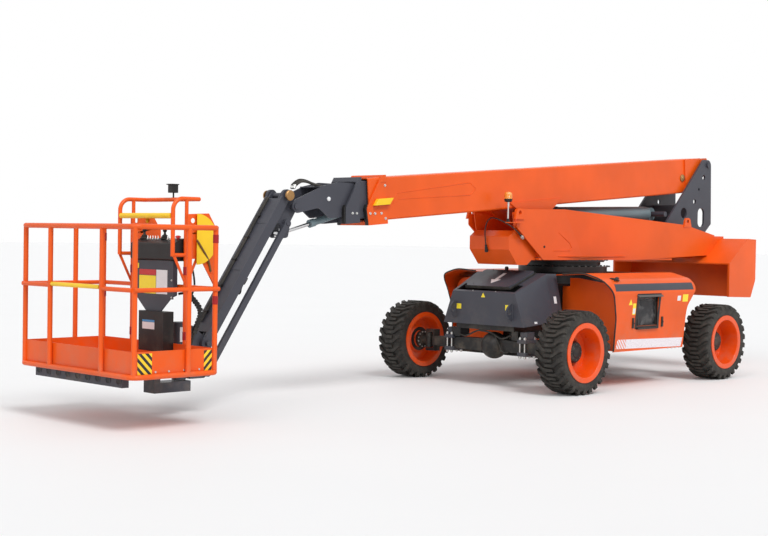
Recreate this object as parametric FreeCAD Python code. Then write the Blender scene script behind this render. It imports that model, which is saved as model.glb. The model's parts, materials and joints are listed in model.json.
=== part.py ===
"""Telescopic boom lift with a jib and a turning platform.

X points to the boom's tip, Y to the machine's left, Z up, in millimetres. The machine is drawn about
the middle of its wheelbase and moved at export, so that the origin is under the middle of its length.
"""

import FreeCAD, Part
import math
import os

V = FreeCAD.Vector

# ---- driving dimensions ------------------------------------------------------------------------

WHEELBASE = 2490.0
TRACK = 2100.0
TYRE_RADIUS = 404.0
TYRE_WIDTH = 300.0
RIM_RADIUS = 270.0
KINGPIN_Y = 840.0
STEER_ARM = V(-195, -52, 0)
AXLE_X = WHEELBASE / 2
WHEEL_Y = TRACK / 2

DECK_Z = 1130.0
SLEW_X = 80.0
TURNTABLE_Z = 1267.0
PLATE_Y = 300.0
PLATE = 12.0

BOOM_PIVOT = V(-2320, 0, 2380)
BOOM_DROP = 4.8
BOOM_WIDTH = 380.0
BOOM_TOP = 86.0
BOOM_LOW = -306.0
BASE_LENGTH = 5540.0
NOSE_START = 5580.0
WALL = 10.0

LIFT_BASE = V(-1470, 0, 1785)
LIFT_EYE = V(780, 0, 1722)

KNUCKLE_PIN = V(3985, 0, 1727)
JIB_PIN = V(4072, 0, 1819)
LINK_PIN = V(4058, 0, 1579)
LEVEL_PIN = V(4071, 0, 1487)
LEVEL_BASE = V(3290, 0, 1692)
JIB_REACH = V(840, 0, -1237)
JIB_CYLINDER_TOP = V(4150, 0, 1640)
JIB_CYLINDER_EYE = V(4830, 0, 640)

INNER_PLATE = (58.0, 76.0)
BAR = (84.0, 114.0)
PIN_END = 146.0

ROTATOR_X = 5110.0
BASKET_REAR = 5320.0
BASKET_FRONT = 6090.0
BASKET_HALF = 775.0
BASKET_LOW = 424.0
BASKET_TOP = 1524.0
MID_RAIL_Z = 1060.0
RAIL = 20.0
GATE_HALF = 358.0
HOOP_X = 5450.0

TAIL_REAR = -2670.0
TAIL_HALF = 800.0

CENTRE_X = (BASKET_FRONT + RAIL + TAIL_REAR) / 2


# ---- drawing helpers ---------------------------------------------------------------------------

def outline(points, place):
    """A closed wire through 2-D points, with a rounded corner where a point has a third value."""
    corners = [V(p[0], p[1], 0) for p in points]
    radii = [p[2] if len(p) > 2 else 0 for p in points]
    ends = []
    for i, corner in enumerate(corners):
        before = (corners[i - 1] - corner).normalize()
        after = (corners[(i + 1) % len(corners)] - corner).normalize()
        if radii[i] == 0:
            ends.append((corner, corner, None))
            continue
        half = before.getAngle(after) / 2
        setback = radii[i] / math.tan(half)
        middle = corner + (before + after).normalize() * (radii[i] / math.sin(half) - radii[i])
        ends.append((corner + before * setback, corner + after * setback, middle))
    edges = []
    for i, (start, stop, middle) in enumerate(ends):
        if middle is not None:
            arc = Part.Arc(place(start), place(middle), place(stop))
            edges.append(arc.toShape())
        following = ends[(i + 1) % len(ends)][0]
        if (following - stop).Length > 1e-6:
            edges.append(Part.makeLine(place(stop), place(following)))
    return Part.Wire(edges)


def plate_y(points, y0, y1):
    """A plate with an outline in X and Z, from y0 to y1."""
    face = Part.Face(outline(points, lambda p: V(p.x, y0, p.y)))
    return face.extrude(V(0, y1 - y0, 0))


def plate_x(points, x0, x1):
    """A plate with an outline in Y and Z, from x0 to x1."""
    face = Part.Face(outline(points, lambda p: V(x0, p.x, p.y)))
    return face.extrude(V(x1 - x0, 0, 0))


def plate_z(points, z0, z1):
    """A plate with an outline in X and Y, from z0 to z1."""
    face = Part.Face(outline(points, lambda p: V(p.x, p.y, z0)))
    return face.extrude(V(0, 0, z1 - z0))


def box(x0, x1, y0, y1, z0, z1):
    return Part.makeBox(x1 - x0, y1 - y0, z1 - z0, V(x0, y0, z0))


def pin_y(centre, radius, y0, y1):
    """A round pin along Y through a centre point."""
    return Part.makeCylinder(radius, y1 - y0, V(centre.x, y0, centre.z), V(0, 1, 0))


def post(x, y, radius, z0, z1):
    return Part.makeCylinder(radius, z1 - z0, V(x, y, z0))


def rod(start, end, radius):
    return Part.makeCylinder(radius, (end - start).Length, start, end - start)


def fuse(*pieces):
    return pieces[0].fuse(list(pieces[1:])).removeSplitter()


def cut(piece, *tools):
    return piece.cut(list(tools))


def mirror_y(piece):
    return piece.mirror(V(0, 0, 0), V(0, 1, 0))


def both_sides(piece):
    """A piece and its mirror image across the machine's middle, as separate solids."""
    return Part.makeCompound([piece, mirror_y(piece)])


def rail(points, radius, bend):
    """A round tube along points, with a bend of one radius at each inner point."""
    path = []
    at = points[0]
    for before, corner, after in zip(points, points[1:], points[2:]):
        back = (before - corner).normalize()
        on = (after - corner).normalize()
        half = back.getAngle(on) / 2
        setback = bend / math.tan(half)
        start = corner + back * setback
        stop = corner + on * setback
        middle = corner + (back + on).normalize() * (bend / math.sin(half) - bend)
        path.append(Part.makeLine(at, start))
        path.append(Part.Arc(start, middle, stop).toShape())
        at = stop
    path.append(Part.makeLine(at, points[-1]))
    ring = Part.Wire(Part.makeCircle(radius, points[0], points[1] - points[0]))
    return Part.Wire(path).makePipeShell([ring], True, True)


def boom_point(along, up, y=0.0):
    """A point in the boom's own frame: along it from its pivot, and square to it."""
    turn = math.radians(BOOM_DROP)
    x = along * math.cos(turn) + up * math.sin(turn)
    z = -along * math.sin(turn) + up * math.cos(turn)
    return BOOM_PIVOT + V(x, y, z)


def on_boom(piece):
    """A piece drawn with its pivot at 0 along X is turned and moved to where the boom lies."""
    turned = piece.copy()
    turned.rotate(V(0, 0, 0), V(0, 1, 0), BOOM_DROP)
    turned.translate(BOOM_PIVOT)
    return turned


def along_boom(point):
    """How far along the boom, and how far above its pivot line, a point of the machine is."""
    turn = math.radians(BOOM_DROP)
    offset = point - BOOM_PIVOT
    return (offset.x * math.cos(turn) - offset.z * math.sin(turn),
            offset.x * math.sin(turn) + offset.z * math.cos(turn))


def save(name, shape):
    placed = shape.copy()
    placed.translate(V(-CENTRE_X, 0, 0))
    placed.exportStep("parts/" + name + ".step")


# ---- wheels and axles --------------------------------------------------------------------------

def tyre():
    half = TYRE_WIDTH / 2
    profile = [(RIM_RADIUS - 4, -half + 14), (340, -half, 20), (TYRE_RADIUS, -half + 18, 26),
               (TYRE_RADIUS, half - 18, 26), (340, half, 20), (RIM_RADIUS - 4, half - 14)]
    face = Part.Face(outline(profile, lambda p: V(p.x, p.y, 0)))
    return face.revolve(V(0, 0, 0), V(0, 1, 0), 360)


def rim():
    """A dished steel rim: a drop-centre barrel, a flange at each side and a disc near the inner one."""
    half = TYRE_WIDTH / 2
    flange = RIM_RADIUS + 16
    barrel = [(RIM_RADIUS - 5, -half + 12), (flange, -half + 6), (flange, -half - 4), (236, -half - 4, 8),
              (214, -30, 20), (236, half + 4, 8), (flange, half + 4), (flange, half - 6),
              (RIM_RADIUS - 5, half - 12), (244, half - 20), (230, -20, 20), (244, -half + 20)]
    shell = Part.Face(outline(barrel, lambda p: V(p.x, p.y, 0))).revolve(V(0, 0, 0), V(0, 1, 0), 360)
    disc = [(0, -70), (120, -70, 10), (150, -40, 10), (222, -40), (222, -28), (145, -28, 10), (115, -58, 10), (0, -58)]
    web = Part.Face(outline(disc, lambda p: V(p.x, p.y, 0))).revolve(V(0, 0, 0), V(0, 1, 0), 360)
    hub = [(0, -90), (90, -90, 8), (90, 20, 12), (60, 34, 8), (0, 34)]
    cap = Part.Face(outline(hub, lambda p: V(p.x, p.y, 0))).revolve(V(0, 0, 0), V(0, 1, 0), 360)
    return fuse(shell, web, cap)


def wheels():
    for end, x in (("front", AXLE_X), ("rear", -AXLE_X)):
        for side, y in (("left", WHEEL_Y), ("right", -WHEEL_Y)):
            for name, piece in (("tyre", tyre()), ("rim", rim())):
                if side == "right":
                    piece = mirror_y(piece)
                piece.translate(V(x, y, TYRE_RADIUS))
                save(end + "_" + side + "_" + name, piece)


def axle_beam(x, half):
    """A forged axle beam with a round differential housing in its middle."""
    z = TYRE_RADIUS
    beam = [(-half, z - 45), (-half, z + 45, 10), (-250, z + 62, 40), (250, z + 62, 40), (half, z + 45, 10),
            (half, z - 45, 10), (250, z - 62, 40), (-250, z - 62, 40)]
    bar = plate_x(beam, x - 55, x + 55)
    case = Part.makeSphere(135, V(x, 60, z))
    nose = Part.makeCone(110, 60, 190, V(x, 60, z), V(-math.copysign(1, x), 0, 0))
    return fuse(bar, case, nose)


def yoke():
    """The left end of the steered axle: a fork above and below the kingpin, closed on its inner side."""
    x, y, z = AXLE_X, KINGPIN_Y, TYRE_RADIUS
    jaws = [plate_z([(x - 44, y - 110), (x + 44, y - 110), (x + 44, y + 34, 40), (x - 44, y + 34, 40)], low, low + 28)
            for low in (z - 112, z + 84)]
    wall = box(x - 44, x + 44, y - 110, y - 92, z - 112, z + 112)
    return fuse(wall, *jaws)


def front_axle():
    return fuse(axle_beam(AXLE_X, KINGPIN_Y - 92), yoke(), mirror_y(yoke()))


def knuckle():
    """The left steering knuckle: a round post in the fork, a flange behind the rim and a steering arm."""
    x, y, z = AXLE_X, KINGPIN_Y, TYRE_RADIUS
    pivot = post(x, y, 40, z - 77, z + 77)
    stub = Part.makeCylinder(38, 100, V(x, y, z), V(0, 1, 0))
    flange = Part.makeCylinder(92, 34, V(x, y + 80, z), V(0, 1, 0))
    arm = plate_z([(x - 10, y - 30), (x - 10, y + 20), (x - 150, y, 20), (x - 225, y - 26, 20),
                   (x - 225, y - 78, 20), (x - 165, y - 78, 20), (x - 130, y - 46, 30)], z - 77, z - 55)
    return fuse(pivot, stub, flange, arm)


def steering_rod():
    """The tie rod that joins the two steering arms behind the axle."""
    x = AXLE_X + STEER_ARM.x
    z = TYRE_RADIUS - 98
    reach = KINGPIN_Y + STEER_ARM.y
    bar = rod(V(x, -reach, z), V(x, reach, z), 14)
    eyes = [post(x, s * reach, 26, z - 15, z + 15) for s in (-1, 1)]
    return fuse(bar, *eyes)


# ---- chassis -----------------------------------------------------------------------------------

def chassis_frame():
    body = plate_y([(-1330, 560), (1330, 560), (1330, 840), (930, 1010), (-930, 1010), (-1330, 840)], -380, 380)
    inside = plate_y([(-1318, 572), (1318, 572), (1318, 832), (927, 998), (-927, 998), (-1318, 832)], -368, 368)
    deck = plate_z([(-760, -450, 40), (760, -450, 40), (760, 450, 40), (-760, 450, 40)], 1010, 1030)
    ring_seat = Part.makeCylinder(430, DECK_Z - 1030 + 6, V(SLEW_X, 0, 1030))
    mounts = []
    for x in (-AXLE_X, AXLE_X):
        for y in (-400, 400):
            mounts.append(box(x - 70, x + 70, y - 60, y + 20 if y > 0 else y + 60, 472, 562))
    return fuse(cut(body, inside), deck, ring_seat, *mounts)


def end_body(sign):
    """A sheet-metal end body: narrower at its top and front, open below and towards the middle."""
    def section(x, low_half, top_half, low, top, inset=0.0):
        return Part.makePolygon([V(sign * x, -low_half + inset, low), V(sign * x, -top_half + inset, top - inset),
                                 V(sign * x, top_half - inset, top - inset), V(sign * x, low_half - inset, low),
                                 V(sign * x, -low_half + inset, low)])
    outer = Part.makeLoft([section(1362, 530, 410, 610, 940), section(930, 560, 455, 650, 1130),
                           section(770, 560, 455, 650, 1130)], True, True)
    inner = Part.makeLoft([section(1354, 530, 410, 600, 940, 8), section(930, 560, 455, 600, 1130, 8),
                           section(760, 560, 455, 600, 1130, 8)], True, True)
    frame_room = box(sign * 700, sign * 1334, -384, 384, 500, 1014) if sign > 0 else \
        box(-1334, -700, -384, 384, 500, 1014)
    shell = cut(outer, inner, frame_room)
    return shell


def front_lid():
    """The raised lid on the sloping front deck."""
    slope = math.degrees(math.atan2(190, 432))
    lid = plate_z([(8, -330, 30), (400, -290, 50), (400, 290, 50), (8, 330, 30)], 6, 34)
    lid = cut(lid, plate_z([(20, -315, 30), (386, -276, 40), (386, 276, 40), (20, 315, 30)], 0, 24))
    lid.rotate(V(0, 0, 0), V(0, 1, 0), slope)
    lid.translate(V(930, 0, 1130))
    return lid


COVER_LOW = 372.0
COVER_PROFILE = [(500, 1126), (840, 1150, 300), (1085, 1080, 120), (1112, 950, 30), (1085, 690, 200), (1072, COVER_LOW)]


def side_cover():
    """The left engine cover: a curved skin with slanting ends and a window."""
    back = [(y - 9, z - (9 if z > 1000 else 0)) + tuple(rest) for y, z, *rest in reversed(COVER_PROFILE)]
    skin = plate_x(COVER_PROFILE + back, -900, 900)
    side = plate_y([(630, COVER_LOW - 1), (610, 700, 200), (690, 960, 200), (820, 1100, 100), (830, 1200),
                    (-690, 1200), (-790, 990, 60), (-640, 800, 150), (-600, COVER_LOW - 1)], 300, 1300)
    skin = skin.common(side)
    window = box(-100, 250, 1000, 1200, 620, 915)
    return cut(skin, window)


def pod():
    """The left side tray that the cover closes: a floor and a front and a rear wall."""
    floor = box(-560, 590, 392, 1050, 378, 390)
    front = plate_x([(396, 378), (1050, 378), (1060, 700, 100), (1080, 900, 40), (1010, 1040, 100),
                     (600, 1090, 60), (490, 1090), (490, 1004), (396, 1004)], 570, 580)
    rear = plate_x([(396, 378), (1050, 378), (1060, 700), (1060, 900, 60), (490, 940), (396, 940)], -560, -550)
    return fuse(floor, front, rear)


# ---- turntable ---------------------------------------------------------------------------------

BEND_TOP = V(464, PLATE_Y, 1790)
BEND_LOW = V(120, PLATE_Y, TURNTABLE_Z)
FLARE_END = V(-2170, 450, 1555)


def flare_y(x, z):
    """The Y of the flared rear part of the left side plate at an X and a Z."""
    normal = (BEND_LOW - BEND_TOP).cross(FLARE_END - BEND_TOP)
    return BEND_TOP.y - (normal.x * (x - BEND_TOP.x) + normal.z * (z - BEND_TOP.z)) / normal.y


def side_plate():
    front = plate_y([(1255, 1774, 20), (1255, 1616, 20), (815, TURNTABLE_Z + 10), (790, TURNTABLE_Z),
                     (BEND_LOW.x, BEND_LOW.z), (BEND_TOP.x, BEND_TOP.z)], PLATE_Y, PLATE_Y + PLATE)
    corners = [(BEND_TOP.x, BEND_TOP.z), (BEND_LOW.x, BEND_LOW.z), (-700, TURNTABLE_Z), (-2000, 1320),
               (-2170, 1555), (-1600, 1665)]
    flare = Part.Face(Part.makePolygon([V(x, flare_y(x, z), z) for x, z in corners + corners[:1]]))
    return fuse(front, flare.extrude(V(0, PLATE, 0)))


def turntable_frame():
    left = side_plate()
    bottom = plate_z([(860, -PLATE_Y - 2), (860, PLATE_Y + 2), (120, PLATE_Y + 2), (-700, 352), (-1400, 395),
                      (-1400, -395), (-700, -352), (120, -PLATE_Y - 2)], TURNTABLE_Z, TURNTABLE_Z + 20)
    bulkhead = box(-1390, -1378, -330, 330, 1285, 1500)
    lug_front = lug(1200, 1735, PLATE_Y + PLATE)
    lug_rear = lug(-1640, 1700, flare_y(-1640, 1640) + 2)
    frame = fuse(left, mirror_y(left), bottom, bulkhead, lug_front, mirror_y(lug_front), lug_rear, mirror_y(lug_rear))
    return cut(frame, pin_y(V(1200, 0, 1740), 22, -500, 500), pin_y(V(-1640, 0, 1705), 22, -500, 500))


def lug(x, z, y):
    """A lifting lug with a round eye, welded to the outside of a side plate."""
    return plate_y([(x - 75, z - 60), (x + 75, z - 60), (x + 45, z + 45, 40), (x - 45, z + 45, 40)], y - 4, y + 18)


def front_box():
    """The box under the boom at the front of the turntable."""
    body = plate_y([(870, TURNTABLE_Z - 2), (870, 1700), (1235, 1745, 10), (1195, 1560, 10), (1285, 1500, 10),
                    (1285, 1370, 10), (1150, 1216, 10), (1000, 1216), (930, TURNTABLE_Z - 2)], -260, 260)
    return cut(body, box(860, 1400, -250, 250, 1560, 1800))


def boom_post():
    """The left upright plate that carries the boom's pivot."""
    plate = plate_y([(-2392, 2440, 70), (-2236, 2440, 60), (-1490, 1700), (-1420, 1560), (-1400, 1290), (-1900, 1320),
                     (-2276, 1577), (-2415, 1690)], 232, 256)
    holes = [pin_y(V(x, 0, z), r, 200, 300)
             for x, z, r in ((-2244, 2232, 30), (-2144, 2088, 16), (-2059, 1944, 30), (-1836, 1806, 62))]
    slot = plate_y([(-2265, 1870, 60), (-2130, 1870, 60), (-2130, 1650, 60), (-2265, 1650, 60)], 200, 300)
    return cut(plate, slot, *holes)


def boom_posts():
    left = boom_post()
    ties = [box(-1560, -1440, -234, 234, 1300, 1330), box(-2000, -1940, -234, 234, 1400, 1900)]
    pin = pin_y(BOOM_PIVOT, 32, -275, 275)
    base_pin = pin_y(LIFT_BASE, 30, -250, 250)
    return fuse(left, mirror_y(left), pin, base_pin, *ties)


def counterweight():
    """The tail weight: a hood with sloping shoulders and side skirts, and a solid back."""
    plan = [(-1950, -TAIL_HALF), (-1950, TAIL_HALF), (-2550, TAIL_HALF, 60), (TAIL_REAR, 300, 300),
            (TAIL_REAR, -300, 300), (-2550, -TAIL_HALF, 60)]
    side = [(-1950, 1240), (-1910, 860), (-2420, 845), (-2700, 1420), (-2640, 1510, 30), (-2340, 1520, 10)]
    block = plate_z(plan, 800, 1600).common(plate_y(side, -TAIL_HALF, TAIL_HALF))
    hollow = plate_y([(-1890, 800), (-1890, 1225), (-1990, 1225), (-2230, 1400), (-2330, 1400), (-2250, 800)],
                     -TAIL_HALF + 25, TAIL_HALF - 25)
    neck = plate_y([(-2010, 1322), (-2160, 1545), (-2400, 1545), (-2400, 1300)], -440, 440)
    post_room = box(-2460, -1900, -262, 262, 1280, 1700)
    body = cut(fuse(block, neck), hollow, post_room)
    return body


def slew_drive():
    """The upper ring of the slewing bearing."""
    ring = Part.makeCylinder(400, TURNTABLE_Z - 1206, V(SLEW_X, 0, 1206))
    flange = Part.makeCylinder(440, 18, V(SLEW_X, 0, TURNTABLE_Z - 20))
    return fuse(ring, flange)


def slew_ring():
    """The lower, toothed ring of the slewing bearing."""
    ring = Part.makeCylinder(470, 60, V(SLEW_X, 0, DECK_Z + 8))
    return ring


def beacon():
    x, y = 1390, 330
    stem = post(x, y, 9, 1640, 1850)
    base = post(x, y, 38, 1845, 1862)
    lens = post(x, y, 42, 1862, 1940)
    bracket = fuse(box(1190, 1410, 314, y + 22, 1634, 1642), box(1190, 1240, PLATE_Y + PLATE, 320, 1600, 1642))
    return fuse(stem, base, lens, bracket)


# ---- boom --------------------------------------------------------------------------------------

def tube(x0, x1, half_width, top, low, wall):
    outer = plate_x([(-half_width, low, 18), (-half_width, top, 18), (half_width, top, 18), (half_width, low, 18)],
                    x0, x1)
    inner = box(x0 - 1, x1 + 1, -half_width + wall, half_width - wall, low + wall, top - wall)
    return cut(outer, inner)


def boom_base():
    half = BOOM_WIDTH / 2
    body = tube(60, BASE_LENGTH - 20, half, BOOM_TOP, BOOM_LOW, WALL)
    heel = plate_y([(-70, 40, 50), (-60, BOOM_TOP - 4, 20), (400, BOOM_TOP - 4), (400, BOOM_LOW + 4),
                    (250, BOOM_LOW + 4), (-70, -60, 60)], half, half + 16)
    heel = cut(heel, pin_y(V(0, 0, 0), 33, 0, 400))
    rear = cut(box(60, 70, -half, half, BOOM_LOW, BOOM_TOP), box(50, 80, -80, 80, -150, 0))
    eye, drop = along_boom(LIFT_EYE)
    ear = plate_y([(eye - 420, BOOM_LOW + 60), (eye + 420, BOOM_LOW + 60), (eye + 260, BOOM_LOW - 40, 60),
                   (eye + 90, drop - 75, 60), (eye - 90, drop - 75, 60), (eye - 260, BOOM_LOW - 40, 60)],
                  half, half + 14)
    ear_boss = Part.makeCylinder(58, 22, V(eye, half, drop), V(0, 1, 0))
    ear = fuse(ear, ear_boss)
    return on_boom(fuse(body, rear, heel, mirror_y(heel), ear, mirror_y(ear)))


def base_collar():
    """The collar at the mouth of the base boom, with its slanting front edge."""
    half = BOOM_WIDTH / 2 + 14
    outer = plate_y([(5300, 106), (5345, 106), (5560, -190), (5545, -340), (5300, -340)], -half, half)
    inner = box(5200, 5700, -BOOM_WIDTH / 2, BOOM_WIDTH / 2, BOOM_LOW, BOOM_TOP)
    return on_boom(cut(outer, inner))


def boom_mid():
    half = BOOM_WIDTH / 2 - 28
    body = tube(560, 5640, half, BOOM_TOP - 24, BOOM_LOW + 28, WALL)
    collar = plate_y([(5580, 98), (5600, 98), (5790, -170), (5800, -310), (5620, -310), (5630, -200)],
                     -half - 12, half + 12)
    collar = cut(collar, box(5400, 5900, -half + WALL, half - WALL, BOOM_LOW + 28 + WALL, BOOM_TOP - 24 - WALL),
                 box(5650, 5900, -100, 100, -400, -200))
    return on_boom(fuse(body, collar))


def boom_tip():
    half = BOOM_WIDTH / 2 - 56
    return on_boom(tube(700, NOSE_START, half, BOOM_TOP - 48, BOOM_LOW + 56, WALL))


def boom_nose():
    """The forked nose on the last section: two side plates that carry the knuckle's pin."""
    pin, rise = along_boom(KNUCKLE_PIN)
    half = BOOM_WIDTH / 2 - 56
    x = NOSE_START
    cheek = plate_y([(x, 38), (5830, 62, 60), (pin - 330, 40, 60), (pin + 20, rise + 55, 40), (pin + 52, rise, 40),
                     (pin, rise - 60, 40), (pin - 260, -150, 60), (pin - 380, -250, 30), (x, -250)],
                    half - 12, half)
    cheek = cut(cheek, pin_y(V(pin, 0, rise), 26, 0, 400))
    base, drop = along_boom(LEVEL_BASE)
    base_pin = pin_y(V(base, 0, drop), 18, -half + 4, half - 4)
    top = box(x, 6050, -half, half, 28, 38)
    return on_boom(fuse(cheek, mirror_y(cheek), top, base_pin))


# ---- jib ---------------------------------------------------------------------------------------

def jib_knuckle():
    """The plate pair at the boom's nose that carries the jib, its link and its cylinder."""
    shape = [(JIB_PIN.x + 10, JIB_PIN.z + 50, 40), (JIB_PIN.x + 55, JIB_PIN.z - 10, 30),
             (JIB_CYLINDER_TOP.x + 50, JIB_CYLINDER_TOP.z + 10, 40),
             (JIB_CYLINDER_TOP.x + 20, JIB_CYLINDER_TOP.z - 50, 30),
             (LINK_PIN.x + 50, LINK_PIN.z - 10, 20), (LEVEL_PIN.x + 40, LEVEL_PIN.z - 40, 30),
             (LEVEL_PIN.x - 45, LEVEL_PIN.z - 30, 30), (LINK_PIN.x - 60, LINK_PIN.z + 20, 20),
             (KNUCKLE_PIN.x - 50, KNUCKLE_PIN.z - 30, 40), (KNUCKLE_PIN.x - 30, KNUCKLE_PIN.z + 55, 40)]
    left = plate_y(shape, *INNER_PLATE)
    pins = [pin_y(KNUCKLE_PIN, 25.8, -PIN_END, PIN_END), pin_y(JIB_PIN, 24, -PIN_END, PIN_END),
            pin_y(LINK_PIN, 18, INNER_PLATE[0], BAR[1] + 6), pin_y(LINK_PIN, 18, -BAR[1] - 6, -INNER_PLATE[0]),
            pin_y(JIB_CYLINDER_TOP, 22, -INNER_PLATE[1], INNER_PLATE[1])]
    tie = box(JIB_PIN.x - 70, JIB_PIN.x - 10, -INNER_PLATE[0], INNER_PLATE[0], JIB_PIN.z - 110, JIB_PIN.z - 98)
    bosses = [pin_y(LEVEL_PIN, 26, s * INNER_PLATE[1] - 6, s * INNER_PLATE[1] + 6) for s in (-1, 1)]
    return fuse(left, mirror_y(left), tie, *pins, *bosses)


def pinned_bar(start, end, width, hole_start, hole_end):
    """The left bar between two pins, in X and Z, with round ends and a hole for each pin."""
    direction = (end - start).normalize()
    side = V(-direction.z, 0, direction.x)
    y0, y1 = BAR
    corners = [start + side * width, end + side * width, end - side * width, start - side * width]
    face = Part.Face(Part.makePolygon([V(c.x, y0, c.z) for c in corners + corners[:1]]))
    bar = fuse(face.extrude(V(0, y1 - y0, 0)), pin_y(start, width * 1.25, y0, y1), pin_y(end, width * 1.25, y0, y1))
    return cut(bar, pin_y(start, hole_start, 0, 300), pin_y(end, hole_end, 0, 300))


def jib_frame_box(along0, along1, up0, up1, y0, y1):
    """A block in the jib's own frame: along it from its upper pin and square to it."""
    piece = box(along0, along1, y0, y1, up0, up1)
    piece.rotate(V(0, 0, 0), V(0, 1, 0), -math.degrees(math.atan2(JIB_REACH.z, JIB_REACH.x)))
    piece.translate(JIB_PIN)
    return piece


def jib_beam():
    """Two side beams with cross plates on top, and the ears that face the jib cylinder's eye."""
    left = pinned_bar(JIB_PIN, JIB_PIN + JIB_REACH, 42, 24.1, 24.1)
    plates = [jib_frame_box(at, at + 120, 34, 42, -BAR[0] - 2, BAR[0] + 2) for at in (200, 680, 1290)]
    direction = JIB_REACH * (1 / JIB_REACH.Length)
    offset = JIB_CYLINDER_EYE - JIB_PIN
    eye_along = offset.dot(direction)
    eye_up = offset.dot(V(-direction.z, 0, direction.x))
    ears = []
    for s in (-1, 1):
        ear = jib_frame_box(eye_along - 60, eye_along + 60, eye_up - 40, 36, s * 50 - 5, s * 50 + 5)
        ears.append(ear)
    return fuse(left, mirror_y(left), *plates, *ears)


def jib_link():
    return both_sides(pinned_bar(LINK_PIN, LINK_PIN + JIB_REACH, 27, 18.1, 18.1))


def cylinder(start, end, gland_at, barrel_radius, rod_radius, eye_radius, pin_radius, half, rod_from):
    """A hydraulic cylinder's barrel with its base eye, and its rod with its own eye and a pin through it."""
    axis = (end - start).normalize()
    gland = start + axis * gland_at
    barrel = fuse(rod(start + axis * eye_radius * 0.6, gland, barrel_radius),
                  rod(gland - axis * 60, gland, barrel_radius + 6), pin_y(start, eye_radius, -half, half))
    barrel = cut(barrel, rod(start + axis * (eye_radius + 50), gland + axis, rod_radius + 3),
                 pin_y(start, pin_radius + 0.1, -2 * half, 2 * half))
    stem = fuse(rod(start + axis * rod_from, end - axis * eye_radius * 0.6, rod_radius),
                pin_y(end, eye_radius, -half, half))
    return barrel, stem


def platform_support():
    """The post between the jib's foot and the platform's rotator."""
    foot = JIB_PIN + JIB_REACH
    low = LINK_PIN + JIB_REACH
    cheek = plate_y([(foot.x - 50, foot.z + 10, 30), (foot.x + 10, foot.z + 60, 30), (ROTATOR_X - 60, foot.z + 170, 20),
                     (ROTATOR_X - 60, low.z - 45, 20), (low.x + 10, low.z - 45, 30), (low.x - 45, low.z, 30)],
                    *INNER_PLATE)
    pins = [pin_y(foot, 24, -PIN_END, PIN_END), pin_y(low, 18, INNER_PLATE[0], BAR[1] + 6),
            pin_y(low, 18, -BAR[1] - 6, -INNER_PLATE[0])]
    back = box(ROTATOR_X - 75, ROTATOR_X - 60, -INNER_PLATE[1], INNER_PLATE[1], low.z - 45, foot.z + 150)
    return fuse(cheek, mirror_y(cheek), back, *pins)


def rotator():
    return post(ROTATOR_X, 0, 58, 292, 760)


# ---- platform ----------------------------------------------------------------------------------

def rail_loop(z, inset=0.0):
    """A closed rectangular rail with rounded corners at a height."""
    x0, x1, y1 = BASKET_REAR + inset, BASKET_FRONT - inset, BASKET_HALF - inset
    bend = 60.0
    path = outline([(x0, -y1, bend), (x1, -y1, bend), (x1, y1, bend), (x0, y1, bend)], lambda p: V(p.x, p.y, z))
    ring = Part.Wire(Part.makeCircle(RAIL, V(x0 + 200, -y1, z), V(1, 0, 0)))
    start = outline([(x0, -y1, bend), (x1, -y1, bend), (x1, y1, bend), (x0, y1, bend)], lambda p: V(p.x, p.y, z))
    sides = [rod(V(x0 + bend, s * y1, z), V(x1 - bend, s * y1, z), RAIL) for s in (-1, 1)]
    ends = [rod(V(x, -y1 + bend, z), V(x, y1 - bend, z), RAIL) for x in (x0, x1)]
    corners = []
    for x, sx in ((x0 + bend, -1), (x1 - bend, 1)):
        for y, sy in ((-y1 + bend, -1), (y1 - bend, 1)):
            turn = Part.makeTorus(bend, RAIL, V(x, y, z))
            quarter = box(min(x, x + sx * 100), max(x, x + sx * 100), min(y, y + sy * 100), max(y, y + sy * 100),
                          z - 50, z + 50)
            corners.append(turn.common(quarter))
    return sides + ends + corners


def basket_frame():
    pieces = rail_loop(BASKET_TOP) + rail_loop(BASKET_LOW)
    inset = 18
    posts = [(BASKET_FRONT - inset, s * (BASKET_HALF - inset)) for s in (-1, 1)]
    posts += [(BASKET_REAR + inset, s * (BASKET_HALF - inset)) for s in (-1, 1)]
    posts += [(BASKET_FRONT, s * GATE_HALF) for s in (-1, 1)]
    posts += [(5599, s * BASKET_HALF) for s in (-1, 1)]
    posts += [(BASKET_REAR, s * 360) for s in (-1, 1)]
    pieces += [post(x, y, RAIL, BASKET_LOW, BASKET_TOP) for x, y in posts]
    for s in (-1, 1):
        pieces.append(rod(V(BASKET_FRONT, s * GATE_HALF, MID_RAIL_Z), V(BASKET_FRONT, s * (BASKET_HALF - 20), MID_RAIL_Z),
                          RAIL - 3))
        pieces.append(rod(V(BASKET_REAR, s * BASKET_HALF, MID_RAIL_Z), V(BASKET_FRONT, s * BASKET_HALF, MID_RAIL_Z),
                          RAIL - 3))
    pieces.append(rod(V(BASKET_REAR, -BASKET_HALF, MID_RAIL_Z), V(BASKET_REAR, BASKET_HALF, MID_RAIL_Z), RAIL - 3))
    return fuse(*pieces)


def basket_floor():
    edge = RAIL + 6
    return box(BASKET_REAR + edge, BASKET_FRONT - edge, -BASKET_HALF + edge, BASKET_HALF - edge,
               BASKET_LOW - 4, BASKET_LOW + 4)


def toe_boards():
    """The upright boards round the floor, on the inner side of the posts."""
    z0, z1 = BASKET_LOW - 4, 610
    x0, x1, y1 = BASKET_REAR + RAIL, BASKET_FRONT - RAIL, BASKET_HALF - RAIL
    outer = box(x0, x1, -y1, y1, z0, z1)
    return cut(outer, box(x0 + 3, x1 - 3, -y1 + 3, y1 - 3, z0 - 1, z1 + 1))


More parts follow.
